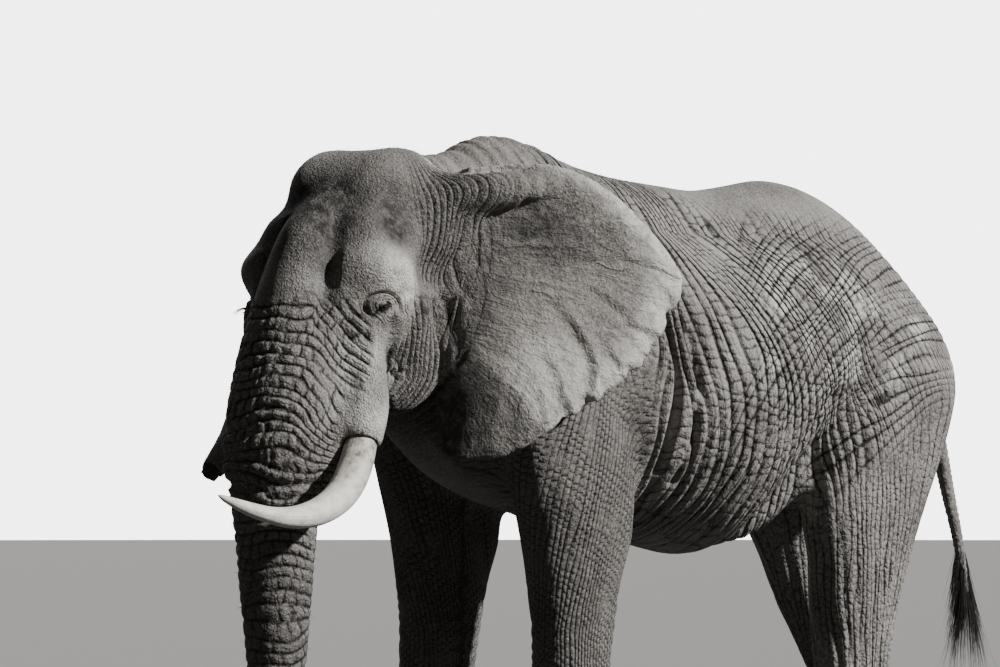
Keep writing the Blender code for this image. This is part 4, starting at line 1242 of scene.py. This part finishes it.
def hide():
    """Elephant hide: thick, dry and matt. Folds and creases divide it into pads, with painted shade in the
    creases between them and dust on top; it is darker in patches and paler where it is rubbed, and those
    patches also hold painted shade and painted highlight."""
    material, tree, shader = new_material("dry_elephant_hide", {"Roughness": 0.86})
    place = add(tree, "TexCoord", [], pick=3)
    part = {}
    for name, keys in SKIN_MAPS.items():
        three = add(tree, "Attribute", [], pick=1, attribute_name=name)
        for i, key in enumerate(keys):
            part[key] = add(tree, "SeparateXYZ", [three], pick=i)
    x, y, z = (add(tree, "SeparateXYZ", [place], pick=i) for i in range(3))
    lie = {key: add(tree, "CombineXYZ", [part[key + "_way"], z, x]) for key in ("body", "hip", "head")}
    long_body = add(tree, "Mapping", {"Vector": lie["body"], "Scale": (1, 1 / 5, 1 / 5)})
    long_leg = add(tree, "Mapping", {"Vector": add(tree, "CombineXYZ", [part["leg_arc"], z, x]),
                                     "Scale": (1, 1 / 4, 1 / 4)})
    # A count of upright creases round a leg, 26 mm apart.
    upright = add(tree, "Math", [part["leg_arc"], 1 / 0.026], operation="MULTIPLY")

    def rungs(count, reach, spacing):
        """Count of the short creases between two folds, which step aside from one row to the next."""
        row = add(tree, "Math", [add(tree, "Math", [count], operation="FLOOR"), 0.37], operation="MULTIPLY")
        return add(tree, "Math", [reach, 1 / spacing, row], operation="MULTIPLY_ADD")

    across = {
        "flank": rungs(part["body_count"], z, 0.048),
        "hip": rungs(part["hip_count"], y, 0.048),
        "head": rungs(part["head_count"], z, 0.050),
        "trunk": rungs(part["turn"], part["arc"], 0.060),
        "fore": rungs(upright, z, 0.034),
        "hind": rungs(upright, z, 0.050),
    }
    # The kinds of crease: where, pattern, how deep in metres, how dark the painted shade along their bottoms
    # is and how wide that is from 0 to 1. Their spacings are an old bull's: main folds 25 to 50 mm apart, and
    # a net of cracks of 15 to 35 mm.
    kinds = [
        ("flank", folds(tree, part["body_count"], lie["body"], part["body_strong"]), 0.0120, 0.95, 0.36),
        ("flank", folds(tree, across["flank"], place, 1.0, 1.0, 1.6, 0.09), 0.0060, 0.70, 0.36),
        ("flank", folds(tree, part["body_count"], long_body, 0.9, 2.0, 2.0, 0.10), 0.0040, 0.55, 0.36),
        ("hip", folds(tree, part["hip_count"], lie["hip"], part["hip_strong"]), 0.0100, 0.90, 0.36),
        ("hip", folds(tree, across["hip"], place, 0.9, 1.0, 1.4, 0.10), 0.0050, 0.60, 0.36),
        ("body", net(tree, place, 0.020, 0.012, 6.0), 0.0014, 0.20, 0.36),
        ("lined", folds(tree, part["head_count"], lie["head"], part["head_strong"]), 0.0110, 1.15, 0.60),
        ("lined", folds(tree, across["head"], place, 0.9, 1.0, 1.6, 0.07), 0.0040, 0.45, 0.36),
        ("eye_share", folds(tree, part["eye_count"], place, 1.0, 1.0, 0.6, 0.05), 0.0050, 0.75, 0.36),
        ("head", net(tree, place, 0.015, 0.008, 10.0), 0.0020, 0.30, 0.36),
        ("trunk", folds(tree, part["turn"], place, 1.0, 1.0, 0.10, 0.14), 0.0075, 1.00, 0.40),
        ("trunk", folds(tree, across["trunk"], place, 1.0, 1.0, 1.3, 0.10), 0.0060, 0.85, 0.36),
        ("trunk", folds(tree, part["turn"], place, 0.9, 2.0, 2.0, 0.07), 0.0030, 0.60, 0.36),
        ("trunk", net(tree, place, 0.022, 0.012, 14.0), 0.0020, 0.35, 0.36),
        ("fore", folds(tree, upright, long_leg, 1.0, 1.0, 2.2, 0.11), 0.0060, 0.80, 0.36),
        ("fore", folds(tree, across["fore"], place, 1.0, 1.0, 1.6, 0.10), 0.0045, 0.85, 0.36),
        ("hind", folds(tree, upright, long_leg, 1.0, 0.8, 2.6, 0.10), 0.0060, 0.85, 0.36),
        ("hind", folds(tree, across["hind"], place, 0.9, 1.0, 2.0, 0.08), 0.0045, 0.75, 0.36),
        ("hind", net(tree, place, 0.034, 0.020, 16.0), 0.0030, 0.45, 0.36),
    ]
    height = 0.0
    painted_crease_shade = 0.0
    for where, pattern, depth, darkness, width in kinds:
        valley = add(tree, "Math", [1.0, pattern], operation="SUBTRACT")
        valley = add(tree, "Math", [valley, 2.2], operation="POWER")
        deep = add(tree, "Math", [part[where], -depth], operation="MULTIPLY")
        height = add(tree, "Math", [valley, deep, height], operation="MULTIPLY_ADD")
        # Painted shade along the bottom of each crease, as dark and as wide as its kind says.
        line = add(tree, "MapRange", {"Value": pattern, "From Max": width, "To Min": darkness, "To Max": 0.0})
        painted_crease_shade = add(tree, "Math", [line, part[where], painted_crease_shade], operation="MULTIPLY_ADD")
    painted_crease_shade = add(tree, "Math", [painted_crease_shade, 0.94], operation="MULTIPLY", use_clamp=True)

    # Grain, roughest on the bare skin of the head. The skin's papillae are 2 to 4 mm across and its grit
    # about 1 mm: both are drawn several times as coarse, at 9.5 and 12 mm, to show. Lumps are 40 mm.
    rough = add(tree, "Math", [part["head"], 0.55, 0.40], operation="MULTIPLY_ADD")
    rough = add(tree, "Math", [part["ear"], 0.15, rough], operation="MULTIPLY_ADD")
    pebble = add(tree, "TexVoronoi", {"Vector": place, "Scale": 1 / 0.0095}, feature="SMOOTH_F1")
    grit = add(tree, "TexNoise", {"Vector": place, "Scale": 1 / 0.012, "Detail": 4.0, "Roughness": 0.65})
    lumps = add(tree, "TexNoise", {"Vector": place, "Scale": 1 / 0.040, "Detail": 3.0, "Roughness": 0.6})
    grain = add(tree, "Math", [pebble, -0.0050], operation="MULTIPLY")
    grain = add(tree, "Math", [grit, 0.0070, grain], operation="MULTIPLY_ADD")
    height = add(tree, "Math", [grain, rough, height], operation="MULTIPLY_ADD")
    height = add(tree, "Math", [lumps, 0.0110, height], operation="MULTIPLY_ADD")

    # Rays that run out over the ear's blade: 34 across its length, which is a vein about every 60 mm.
    ray = add(tree, "CombineXYZ", [part["out"], part["down"], 0.0])
    ray = add(tree, "Mapping", {"Vector": ray, "Scale": (3.0, 34.0, 1.0)})
    ray = add(tree, "TexNoise", {"Vector": ray, "Scale": 1.0, "Detail": 5.0, "Roughness": 0.65,
                                 "Distortion": 0.4})
    ray = add(tree, "Math", [ray, part["ear"]], operation="MULTIPLY")
    height = add(tree, "Math", [ray, 0.0200, height], operation="MULTIPLY_ADD")

    # Colour: clouds 0.4 m across, dust on the body, and the pale and dark marks, which are wear with painted
    # highlight and painted shade, in blotches of 60 mm.
    cloud = add(tree, "TexNoise", {"Vector": place, "Scale": 2.6, "Detail": 6.0, "Roughness": 0.62})
    cloud = add(tree, "MapRange", {"Value": cloud, "From Min": 0.32, "From Max": 0.68})
    dusty = add(tree, "Math", [part["hind"], 0.9, part["body"]], operation="MULTIPLY_ADD", use_clamp=True)
    speck = add(tree, "MapRange", {"Value": grit, "From Min": 0.42, "From Max": 0.68})
    speck = add(tree, "Math", [speck, 0.55], operation="MULTIPLY")
    streak = add(tree, "MapRange", {"Value": ray, "From Min": 0.52, "From Max": 0.66, "To Max": 0.55})
    # Painted shade in the low gaps between the pebbles of the grain, strongest on the rough skin of the head.
    pebble_gap_shade = add(tree, "MapRange", {"Value": pebble, "From Min": 0.35, "From Max": 0.75, "To Max": 0.50})
    pebble_gap_shade = add(tree, "Math", [pebble_gap_shade, rough], operation="MULTIPLY")
    patchy = add(tree, "TexNoise", {"Vector": place, "Scale": 16.0, "Detail": 5.0, "Roughness": 0.7})
    patchy = add(tree, "MapRange", {"Value": patchy, "From Min": 0.36, "From Max": 0.58, "To Min": 0.35})
    # The worn marks, broken into blotches: pale ones hold painted highlight and dark ones painted shade,
    # besides wear and dust.
    worn = {}
    for mark, most in (("pale", 1.15), ("dark", 1.05)):
        share = add(tree, "Math", [part[mark], patchy], operation="MULTIPLY")
        worn[mark] = add(tree, "Math", [share, most], operation="MULTIPLY", use_clamp=True)
    bare = coats(tree, "#4F4C49", (cloud, "#8A8681"))
    dust = coats(tree, "#706C68", (cloud, "#AFABA5"))
    # Coats over the skin's colour: pale specks and streaks, painted shade in the grain's gaps, the worn marks
    # with their painted highlight and shade, the darkness round the eyes with its painted shade, and painted
    # shade in the creases.
    tone = coats(tree, bare, (dusty, dust), (speck, "#BEB9B2"), (streak, "#BEB9B2"), (pebble_gap_shade, "#2A2725"),
                 (worn["pale"], "#DFDBD4"), (worn["dark"], "#2B2826"), (part["rim"], "#2A2724"),
                 (painted_crease_shade, "#1A1816"))
    dress(tree, shader, tone, height)
    return material


def ivory():
    """A bull's tusk: dense, satin ivory, stained brown toward the root and scratched along its length."""
    material, tree, shader = new_material("weathered_tusk_ivory", {"Roughness": 0.42})
    lie = add(tree, "Attribute", [], pick=1, attribute_name="lie_tusk")
    far = add(tree, "SeparateXYZ", [lie], pick=0)
    place = add(tree, "TexCoord", [], pick=3)
    # Stains in blotches of about 60 mm.
    stain = add(tree, "TexNoise", {"Vector": place, "Scale": 15.0, "Detail": 8.0, "Roughness": 0.72})
    stain = add(tree, "MapRange", {"Value": stain, "From Min": 0.45, "From Max": 0.66})
    root = add(tree, "MapRange", {"Value": far, "From Min": 0.45, "From Max": 0.0})
    dirty = add(tree, "Math", [root, 0.55, 0.40], operation="MULTIPLY_ADD")
    dirty = add(tree, "Math", [dirty, stain], operation="MULTIPLY")
    dirty = add(tree, "Math", [root, 0.50, dirty], operation="MULTIPLY_ADD", use_clamp=True)
    # Long cracks 12 mm apart, where the size of a drawn-out noise is near nothing. Real ones are hairlines.
    crack = add(tree, "Mapping", {"Vector": lie, "Location": (21.0,) * 3,
                                  "Scale": (1 / 0.9, 1 / 0.012, 1 / 0.012)})
    crack = add(tree, "TexNoise", {"Vector": crack, "Scale": 1.0, "Detail": 1.2, "Roughness": 0.45})
    crack = add(tree, "Math", [crack, 0.5], operation="SUBTRACT")
    crack = add(tree, "Math", [crack], operation="ABSOLUTE")
    crack = add(tree, "Math", [crack, 7.0], operation="MULTIPLY", use_clamp=True)
    line = add(tree, "MapRange", {"Value": crack, "From Max": 0.10, "To Min": 0.40, "To Max": 0.0})
    rough = add(tree, "MapRange", {"Value": stain, "To Min": 0.36, "To Max": 0.62})
    tree.links.new(rough, shader.inputs["Roughness"])
    # Chips and dents, really 2 to 5 mm across, drawn at 14 mm to show.
    chips = add(tree, "TexNoise", {"Vector": place, "Scale": 70.0, "Detail": 4.0, "Roughness": 0.6})
    height = add(tree, "Math", [chips, 0.0022], operation="MULTIPLY")
    height = add(tree, "Math", [crack, 0.0006, height], operation="MULTIPLY_ADD")
    dress(tree, shader, coats(tree, "#FBF6EA", (dirty, "#5E554A"), (line, "#5E564B")), height)
    return material


def dead_ivory():
    """The worn stump of a tusk: rough and hollow, brown with dirt in spots of about 17 mm over a nearly black
    ground, which is stain and painted shade of the hollow in its sheath.
    """
    material, tree, shader = new_material("dirty_ivory_in_painted_shade", {"Roughness": 0.8})
    place = add(tree, "TexCoord", [], pick=3)
    grime = add(tree, "TexNoise", {"Vector": place, "Scale": 60.0, "Detail": 5.0, "Roughness": 0.7})
    height = add(tree, "Math", [grime, 0.006], operation="MULTIPLY")
    # A nearly black ground, stain and painted shade of the sheath's hollow, under brown spots of dirt.
    dress(tree, shader, coats(tree, "#1E1B18", (grime, "#5A5248")), height)
    return material


def eye_surface():
    """A wet eyeball: brown iris of radial fibres round a dark pupil, dark veined white at its edge. The
    pupil ends about 0.19 radians from the middle of the gaze, and the iris about 0.53."""
    material, tree, shader = new_material("wet_eyeball", {"Roughness": 0.12, "IOR": 1.376})
    lie = add(tree, "Attribute", [], pick=1, attribute_name="lie_eye")
    far = add(tree, "SeparateXYZ", [lie], pick=0)
    fibres = add(tree, "Mapping", {"Vector": lie, "Scale": (3.0, 9.0, 9.0)})
    fibres = add(tree, "TexNoise", {"Vector": fibres, "Scale": 1.0, "Detail": 3.0})
    beyond = [add(tree, "MapRange", {"Value": far, "From Min": start, "From Max": end},
                  interpolation_type="SMOOTHSTEP") for start, end in ((0.17, 0.21), (0.50, 0.56))]
    iris = coats(tree, "#170F09", (fibres, "#3E2816"))
    white = coats(tree, "#2E2420", (fibres, "#57483F"))
    dress(tree, shader, coats(tree, "#050404", (beyond[0], coats(tree, iris, (beyond[1], white)))))
    return material


def horn():
    """Toenails: matt, grey horn with growth ridges across, 5 mm apart, and dirt near the quick."""
    material, tree, shader = new_material("ridged_toenail_horn", {"Roughness": 0.6})
    place = add(tree, "TexCoord", [], pick=3)
    ridges = add(tree, "Mapping", {"Vector": place, "Scale": (6.0, 6.0, 190.0)})
    ridges = add(tree, "TexNoise", {"Vector": ridges, "Scale": 1.0, "Detail": 2.0})
    dirt = add(tree, "TexNoise", {"Vector": place, "Scale": 40.0, "Detail": 5.0, "Roughness": 0.7})
    clean = coats(tree, "#5C544A", (dirt, "#A69B8A"))
    height = add(tree, "Math", [ridges, 0.0030], operation="MULTIPLY")
    height = add(tree, "Math", [dirt, 0.0012, height], operation="MULTIPLY_ADD")
    dress(tree, shader, coats(tree, "#4A433B", (ridges, clean)), height)
    return material


def wire_hair():
    """Coarse black-brown bristle, faintly shiny, dusty in places, in spots of about 8 mm."""
    material, tree, shader = new_material("coarse_black_bristle", {"Roughness": 0.45})
    place = add(tree, "TexCoord", [], pick=3)
    dust = add(tree, "TexNoise", {"Vector": place, "Scale": 120.0, "Detail": 3.0})
    dress(tree, shader, coats(tree, "#0D0B0A", (dust, "#3A342E")))
    return material


# ---- eyes, tusks, nails and hair --------------------------------------------------------------------

def put(name, mesh, material, slot, *nodes):
    """A finished piece that rides with the whole animal and stands for the given solids."""
    turn_outward(mesh)
    mesh.shade_smooth()
    mesh.materials.clear()
    mesh.materials.append(material)
    piece = bpy.data.objects.new(name, mesh)
    bpy.context.scene.collection.objects.link(piece)
    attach(piece, "root")
    if nodes:
        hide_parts(*nodes)
    return piece


def globe(rows, around):
    """A ball's grid from its +X pole to its -X pole: the angle from the first pole, and the directions."""
    polar = np.linspace(0.0, pi, rows)[:, None]
    turn = np.linspace(0, 2 * pi, around, endpoint=False)[None, :]
    ways = (np.cos(polar) + 0 * turn, np.sin(polar) * np.cos(turn), np.sin(polar) * np.sin(turn))
    return polar, np.stack(ways, -1)


def with_poles(grid):
    """A grid's points as one list, with its first and last rows as single points."""
    return np.concatenate([grid[0, :1], grid[1:-1].reshape(-1, 3), grid[-1, :1]])


def ball_mesh(name, points):
    """A closed mesh from rings of points whose first and last rings are single points."""
    rows, around = points.shape[:2]
    verts = with_poles(points)
    i, j = np.meshgrid(np.arange(rows - 3), np.arange(around), indexing="ij")
    k, n = 1 + i * around + j, 1 + i * around + (j + 1) % around
    quads = np.stack([k, n, n + around, k + around], -1).reshape(-1, 4)
    j = np.arange(around)
    n = (j + 1) % around
    last = len(verts) - 1
    first_cap = np.stack([0 * j, 1 + n, 1 + j], -1)
    last_cap = np.stack([0 * j + last, last - around + j, last - around + n], -1)
    return mesh_from(name, verts, [*quads.tolist(), *first_cap.tolist(), *last_cap.tolist()])


def eyeball(side, material, skin_frame):
    """A ball with the cornea's low bulge at its front, turned to look out, forward and a little down."""
    centre, front, above, outward = skin_frame
    gaze = unit(outward + 0.42 * front - 0.16 * above)
    aside = unit(np.cross(gaze, above))
    polar, ways = globe(40, 48)
    radius = EYE_RADIUS * (1 + 0.055 * np.exp(-(polar / 0.50) ** 4))
    points = centre - MIDDLE + (radius[..., None] * ways) @ np.stack([gaze, aside, np.cross(aside, gaze)])
    mesh = ball_mesh("eye", points)
    lie = np.stack([polar + 0 * ways[..., 0], ways[..., 1], ways[..., 2]], -1)
    paint(mesh, "lie_eye", with_poles(lie))
    word = "left" if side > 0 else "right"
    return put("eyeball_" + word, mesh, material, "eye", "eye_" + word)


def tusk(material):
    """The long tusk: a round section carried along its curve, a little flattened, down to its blunt tip."""
    count = 120
    _, rows = flowing(by_length(TUSK), count)
    path = head_point(rows[:, 0], rows[:, 1], rows[:, 2])
    share = np.linspace(0, 1, count)
    radii = rows[:, 3] * np.sqrt(np.clip((1.0 - share) / 0.02, 0, 1))
    turn = np.linspace(0, 2 * pi, 48, endpoint=False)
    _, sides, fronts = tube_frame(path)
    ring = (np.cos(turn)[None, :, None] * sides[:, None]
            + 0.94 * np.sin(turn)[None, :, None] * fronts[:, None])
    every = 0 * rows[:, :1]
    lumps = np.stack([np.linspace(0, 9, count)[:, None] + 0 * turn, np.cos(turn) + every,
                      np.sin(turn) + every], -1)
    swell = 1 + 0.012 * noise(lumps, 91)
    points = path[:, None] + ring * (radii[:, None] * swell)[..., None]
    points[0], points[-1] = path[0], path[-1]
    mesh = ball_mesh("tusk", points - MIDDLE)
    share = share[:, None]
    lie = np.stack([share + 0 * turn, 0.07 * np.cos(turn) + 0 * share, 0.07 * np.sin(turn) + 0 * share], -1)
    paint(mesh, "lie_tusk", with_poles(lie))
    return put("tusk_of_left_side", mesh, material, "ivory", "tusk_left")


def stump(material):
    """The broken tusk inside its sheath: a short peg whose end is worn into a jagged hollow."""
    low, high = (head_point(-r[0], r[1], r[2]).reshape(3) for r in (BROKEN_TUSK[1], BROKEN_TUSK[2]))
    course = unit(high - low)
    end = high - 0.016 * course
    share = np.array([0.0, 0.0, 0.5, 0.9, 1.0, 0.99, 0.80, 0.66, 0.66])[:, None]
    wide = np.array([0.0, 1.0, 1.0, 1.0, 0.93, 0.80, 0.62, 0.35, 0.0])[:, None]
    turn = np.linspace(0, 2 * pi, 40, endpoint=False)[None, :]
    jag = noise(np.stack([2.5 * np.cos(turn), 2.5 * np.sin(turn), 0 * turn], -1), 92)
    jag = 0.004 * jag * (share > 0.85)
    aside = unit(np.cross(course, UP))
    other = np.cross(course, aside)
    reach = (end - low) @ course * share + jag
    points = low + reach[..., None] * course + 0.040 * wide[..., None] * (
        np.cos(turn)[..., None] * aside + np.sin(turn)[..., None] * other)
    return put("stump_of_right_tusk", ball_mesh("stump", points - MIDDLE), material, "ivory", "tusk_right")


def nails(material):
    """All toenails: flattened ovals half sunk in the feet, squared off and thicker toward the floor."""
    _, ways = globe(22, 28)
    ways = ways[..., [1, 2, 0]]
    meshes, names = [], []
    for name, (stations, side, foot, _, _) in LEGS.items():
        _, half, length, out, back = stations[1]
        for number, angle in enumerate(FORE_NAILS if name.startswith("fore") else HIND_NAILS, 1):
            turn = radians(angle) * side
            reach = np.array([half * sin(turn), -length * cos(turn), 0])
            place = np.array([side * out, foot + back, NAIL_HEIGHT]) + reach * 0.985
            facing = np.array(Matrix.Rotation(turn, 3, "Z") @ Matrix.Rotation(radians(-14), 3, "X"))
            shape = np.sign(ways) * np.abs(ways) ** np.array([0.85, 1.0, 0.80])
            points = (shape * NAIL_SIZE) @ facing.T + place
            meshes.append(ball_mesh("nail", points - MIDDLE))
            names.append(f"nail_{name}_{number}")
    whole = joined("nails", meshes)
    mesh = whole.data
    bpy.data.objects.remove(whole)
    return put("toenails", mesh, material, "nail", *names)


HAIR_PATCH = 0.003               # how far across each hair's patch of the map is


def hairs(name, roots, ways, lengths, thickness, droop, unwrap, material, *nodes):
    """Tapering three-sided hairs: each centre line is root + way * length * s + droop * length * s^2, for s
    from 0 to 1. Their map holds each hair in a small patch at the spot given for it."""
    rows = 7
    s = np.linspace(0, 1, rows)[None, :, None]
    long = lengths[:, None, None]
    line = roots[:, None] + ways[:, None] * (long * s) + droop[:, None] * (long * s**2)
    course = unit(np.gradient(line, axis=1))
    aside = unit(np.cross(course, np.array([0.31, 0.52, 0.79])))
    other = np.cross(course, aside)
    turn = np.array([0, 2 * pi / 3, 4 * pi / 3])
    radius = (thickness * (1 - 0.92 * s[..., 0] ** 1.5))[..., None]
    ring = line[:, :, None] + radius[..., None] * (np.cos(turn)[None, None, :, None] * aside[:, :, None]
                                                   + np.sin(turn)[None, None, :, None] * other[:, :, None])
    count = len(roots)
    i, j, k = np.meshgrid(np.arange(count), np.arange(rows - 1), np.arange(3), indexing="ij")
    base = (i * rows + j) * 3
    n = (k + 1) % 3
    quads = np.stack([base + k, base + n, base + 3 + n, base + 3 + k], -1).reshape(-1, 4)
    start = np.arange(count) * rows * 3
    caps = np.concatenate([np.stack([start + 2, start + 1, start], -1),
                           np.stack([start, start + 1, start + 2], -1) + (rows - 1) * 3])
    mesh = mesh_from(name, ring.reshape(-1, 3) - MIDDLE, [*quads.tolist(), *caps.tolist()])
    patch = np.stack(np.broadcast_arrays(np.arange(3)[None, None, :] / 3,
                                         np.linspace(0, 1, rows)[None, :, None]), -1)
    spots = (unwrap[:, None, None] + HAIR_PATCH * patch).reshape(-1, 2)
    corner = np.empty(len(mesh.loops), np.int32)
    mesh.loops.foreach_get("vertex_index", corner)
    layer = mesh.uv_layers.new(name="OFBake")
    layer.data.foreach_set("uv", spots[corner].astype(np.float32).ravel())
    return put(name, mesh, material, "hair", *nodes)


BRUSH_HAIRS = 620
BRUSH_TOP = 1.36                 # height of its uppermost hairs' roots
BRUSH_LENGTH = 0.235             # how far down the tail they grow
BRUSH_END = 0.71                 # height of its tip


def tail_brush(material, seed=5):
    """The wiry brush on the tail: two fringes of long hairs, front and back, and a tuft at the end."""
    dice = np.random.default_rng(seed)
    _, rows = flowing(by_length(TAIL), 200)
    count = BRUSH_HAIRS
    share = dice.uniform(0, 1, count) ** 0.8
    height = BRUSH_TOP - BRUSH_LENGTH * share
    core = np.stack([np.interp(height, rows[::-1, 2], rows[::-1, k]) for k in (0, 1, 2)], -1)
    radius = np.interp(height, rows[::-1, 2], rows[::-1, 3])
    fringe = np.where(dice.uniform(0, 1, count) < 0.5, 0.0, pi) + dice.normal(0, 0.55, count)
    fringe = np.where(share > 0.90, dice.uniform(0, 2 * pi, count), fringe)
    way = np.stack([np.sin(fringe), np.cos(fringe), 0 * fringe], -1)
    roots = core + way * (radius * 0.9)[:, None]
    lengths = dice.uniform(0.20, 0.42, count) * (0.7 + 0.6 * share)
    lengths = np.minimum(lengths, (height - BRUSH_END) / 0.98)
    ways = unit(way * 0.20 + (0, 0, -1) + dice.normal(0, 0.05, (count, 3)))
    droop = way * dice.uniform(-0.10, 0.05, (count, 1))
    spots = np.stack([0.5 + 0.49 * (fringe % (2 * pi)) / (2 * pi), 0.02 + 0.9 * share], -1)
    return hairs("tail_hair", roots, ways, lengths, 0.0012, droop, spots, material, "tail_tuft")


def lashes(material, frames, seed=6):
    """Long lashes that hang forward and down over each eye from the upper lid, short ones below."""
    dice = np.random.default_rng(seed)
    roots, ways, droop, lengths = [], [], [], []
    c, s = cos(LID_SLANT), sin(LID_SLANT)
    for centre, front, above, outward in frames:
        for over, count, long in ((1, 46, 0.048), (-1, 20, 0.016)):
            a = dice.uniform(-0.92, 0.92, count)
            b = over * (1 - np.abs(a) ** LID_CURVE[0]) ** (1 / LID_CURVE[1])
            b = b * (1.0 if over > 0 else LOWER_LID)
            p, q = a * OPENING[0] * 1.08, b * OPENING[1] * 1.12
            p, q = c * p + s * q, -s * p + c * q
            lift = np.sqrt(np.maximum((EYE_RADIUS + 0.003) ** 2 - p**2 - q**2, 0))
            roots.append(centre + p[:, None] * front + q[:, None] * above + lift[:, None] * outward)
            upward = 0.10 * over + dice.normal(0, 0.10, (count, 1))
            ahead = dice.normal(0, 0.10, (count, 1))
            ways.append(unit(outward + 0.5 * front + upward * above + ahead * front))
            droop.append(np.full((count, 1), -0.75) * above + 0.1 * front)
            lengths.append(long * dice.uniform(0.7, 1.25, count))
    roots = np.concatenate(roots)
    spots = np.stack([0.1 + 0.3 * np.linspace(0, 1, len(roots)), np.full(len(roots), 0.97)], -1)
    return hairs("eyelashes", roots, np.concatenate(ways), np.concatenate(lengths), 0.0007,
                 np.concatenate(droop), spots, material)


def bristles(skin, material, seed=7):
    """Sparse short bristles on the chin, crown, trunk and back, growing from points of the skin."""
    dice = np.random.default_rng(seed)
    places, normals = read(skin.data), read(skin.data, "normals")
    away = places + MIDDLE - NECK_JOINT
    ahead, wide = away @ FORWARD, np.abs(away @ LEFT)
    z = places[:, 2]
    # Where, how many, and how long in metres.
    patches = (
        ((ahead > 0.55) & (ahead < 0.82) & (z < 2.02) & (z > 1.78) & (wide < 0.16), 160, 0.060),
        ((ahead > -0.05) & (ahead < 0.7) & (z > 2.85) & (wide < 0.3), 260, 0.030),
        ((ahead > 0.80) & (z < 2.1) & (z > 0.2) & (wide < 0.25), 260, 0.028),
        ((places[:, 1] + MIDDLE[1] > -0.2) & (z > 3.0), 260, 0.035),
    )
    chosen, long = [], []
    for where, count, length in patches:
        spots = np.flatnonzero(where)
        chosen.append(dice.choice(spots, min(count, len(spots)), replace=False))
        long.append(length * dice.uniform(0.5, 1.2, len(chosen[-1])))
    chosen, long = np.concatenate(chosen), np.concatenate(long)
    ways = unit(normals[chosen] + dice.normal(0, 0.25, (len(chosen), 3)) + (0, 0, -0.3))
    spots = np.stack([0.02 + 0.45 * ((places[chosen, 0] * 3.1) % 1),
                      0.02 + 0.9 * ((places[chosen, 2] * 1.7) % 1)], -1)
    droop = 0 * ways + (0, 0, -0.25)
    return hairs("sparse_bristles", places[chosen] + MIDDLE, ways, long, 0.0007, droop, spots, material)


# ---- camera, floor and light ------------------------------------------------------------------------

CAMERA_TURN = radians(52)        # how far round to the animal's left the camera stands
VIEW_DISTANCE = 23.1
LENS = 180                       # focal length and width of the sensor, in millimetres
SENSOR = 36
VIEW_HEIGHT = 1.635              # height of the camera and of the point where its middle line passes
VIEW_TILT = radians(1.850)       # how far up the camera looks
VIEW_ASIDE = 0.0924              # the view's middle, right of the point below the withers
FLOOR_RADIUS = 160


def set_camera():
    """A long lens level with the tusks, ahead of the animal and to its left."""
    ahead = np.array([-sin(CAMERA_TURN), cos(CAMERA_TURN), 0])
    right = np.array([cos(CAMERA_TURN), sin(CAMERA_TURN), 0])
    data = bpy.data.cameras.new("camera")
    data.lens = LENS
    data.sensor_width = SENSOR
    camera = bpy.data.objects.new("camera", data)
    camera.location = VIEW_ASIDE * right - VIEW_DISTANCE * ahead + VIEW_HEIGHT * UP - MIDDLE
    look = Vector(ahead * cos(VIEW_TILT) + UP * sin(VIEW_TILT))
    camera.rotation_euler = look.to_track_quat("-Z", "Y").to_euler()
    bpy.context.scene.collection.objects.link(camera)
    bpy.context.scene.camera = camera
    return ahead, right


def set_stage(ahead, right):
    """A pale floor, a white surround that gives little light, one lamp high on the right and a broad
    weak one behind, which lights only what faces away."""
    angle = np.linspace(0, 2 * pi, 96, endpoint=False)
    rim = FLOOR_RADIUS * np.stack([np.cos(angle), np.sin(angle), 0 * angle], -1)
    floor = bpy.data.objects.new("floor", mesh_from("floor", rim - (0, 0, 0.001), [list(range(96))]))
    painted = {"Base Color": linear("#8D8B88"), "Roughness": 0.9}
    floor.data.materials.append(new_material("pale_painted_floor", painted)[0])
    bpy.context.scene.collection.objects.link(floor)
    floor.visible_diffuse = False

    for name, energy, spread, toward in (("key", 5.4, 2.5, 0.79 * right + 0.52 * UP - 0.32 * ahead),
                                         ("back", 1.6, 40, 0.90 * ahead + 0.38 * UP - 0.10 * right)):
        lamp = bpy.data.lights.new(name, "SUN")
        lamp.energy = energy
        lamp.angle = radians(spread)
        light = bpy.data.objects.new(name, lamp)
        light.rotation_euler = Vector(toward).to_track_quat("Z", "Y").to_euler()
        bpy.context.scene.collection.objects.link(light)

    world = bpy.data.worlds.new("surround")
    bpy.context.scene.world = world
    world.use_nodes = True
    tree = world.node_tree
    tree.nodes["Background"].inputs["Strength"].default_value = 0.05
    tree.nodes["Background"].inputs["Color"].default_value = (1, 1, 1, 1)
    bright = add(tree, "Background", [(1, 1, 1, 1), 5.0])
    seen = add(tree, "LightPath", [])
    both = add(tree, "MixShader", [seen, tree.nodes["Background"].outputs[0], bright])
    tree.links.new(both, tree.nodes["World Output"].inputs["Surface"])


# ---- the whole animal -------------------------------------------------------------------------------

def main():
    """Build the animal from its skin to its bristles, with its camera, floor and light."""
    set_stage(*set_camera())
    skin = whole_skin()
    skin.data.materials.clear()
    skin.data.materials.append(hide())
    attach(skin, "root")
    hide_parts(*FLESH)
    places, normals = read(skin.data) + MIDDLE, read(skin.data, "normals")
    frames = {side: eye_frame(places, normals, side) for side in (1, -1)}
    wet = eye_surface()
    for side in (1, -1):
        eyeball(side, wet, frames[side])
    tusk(ivory())
    stump(dead_ivory())
    nails(horn())
    bristle = wire_hair()
    tail_brush(bristle)
    lashes(bristle, frames.values())
    bristles(skin, bristle)


main()
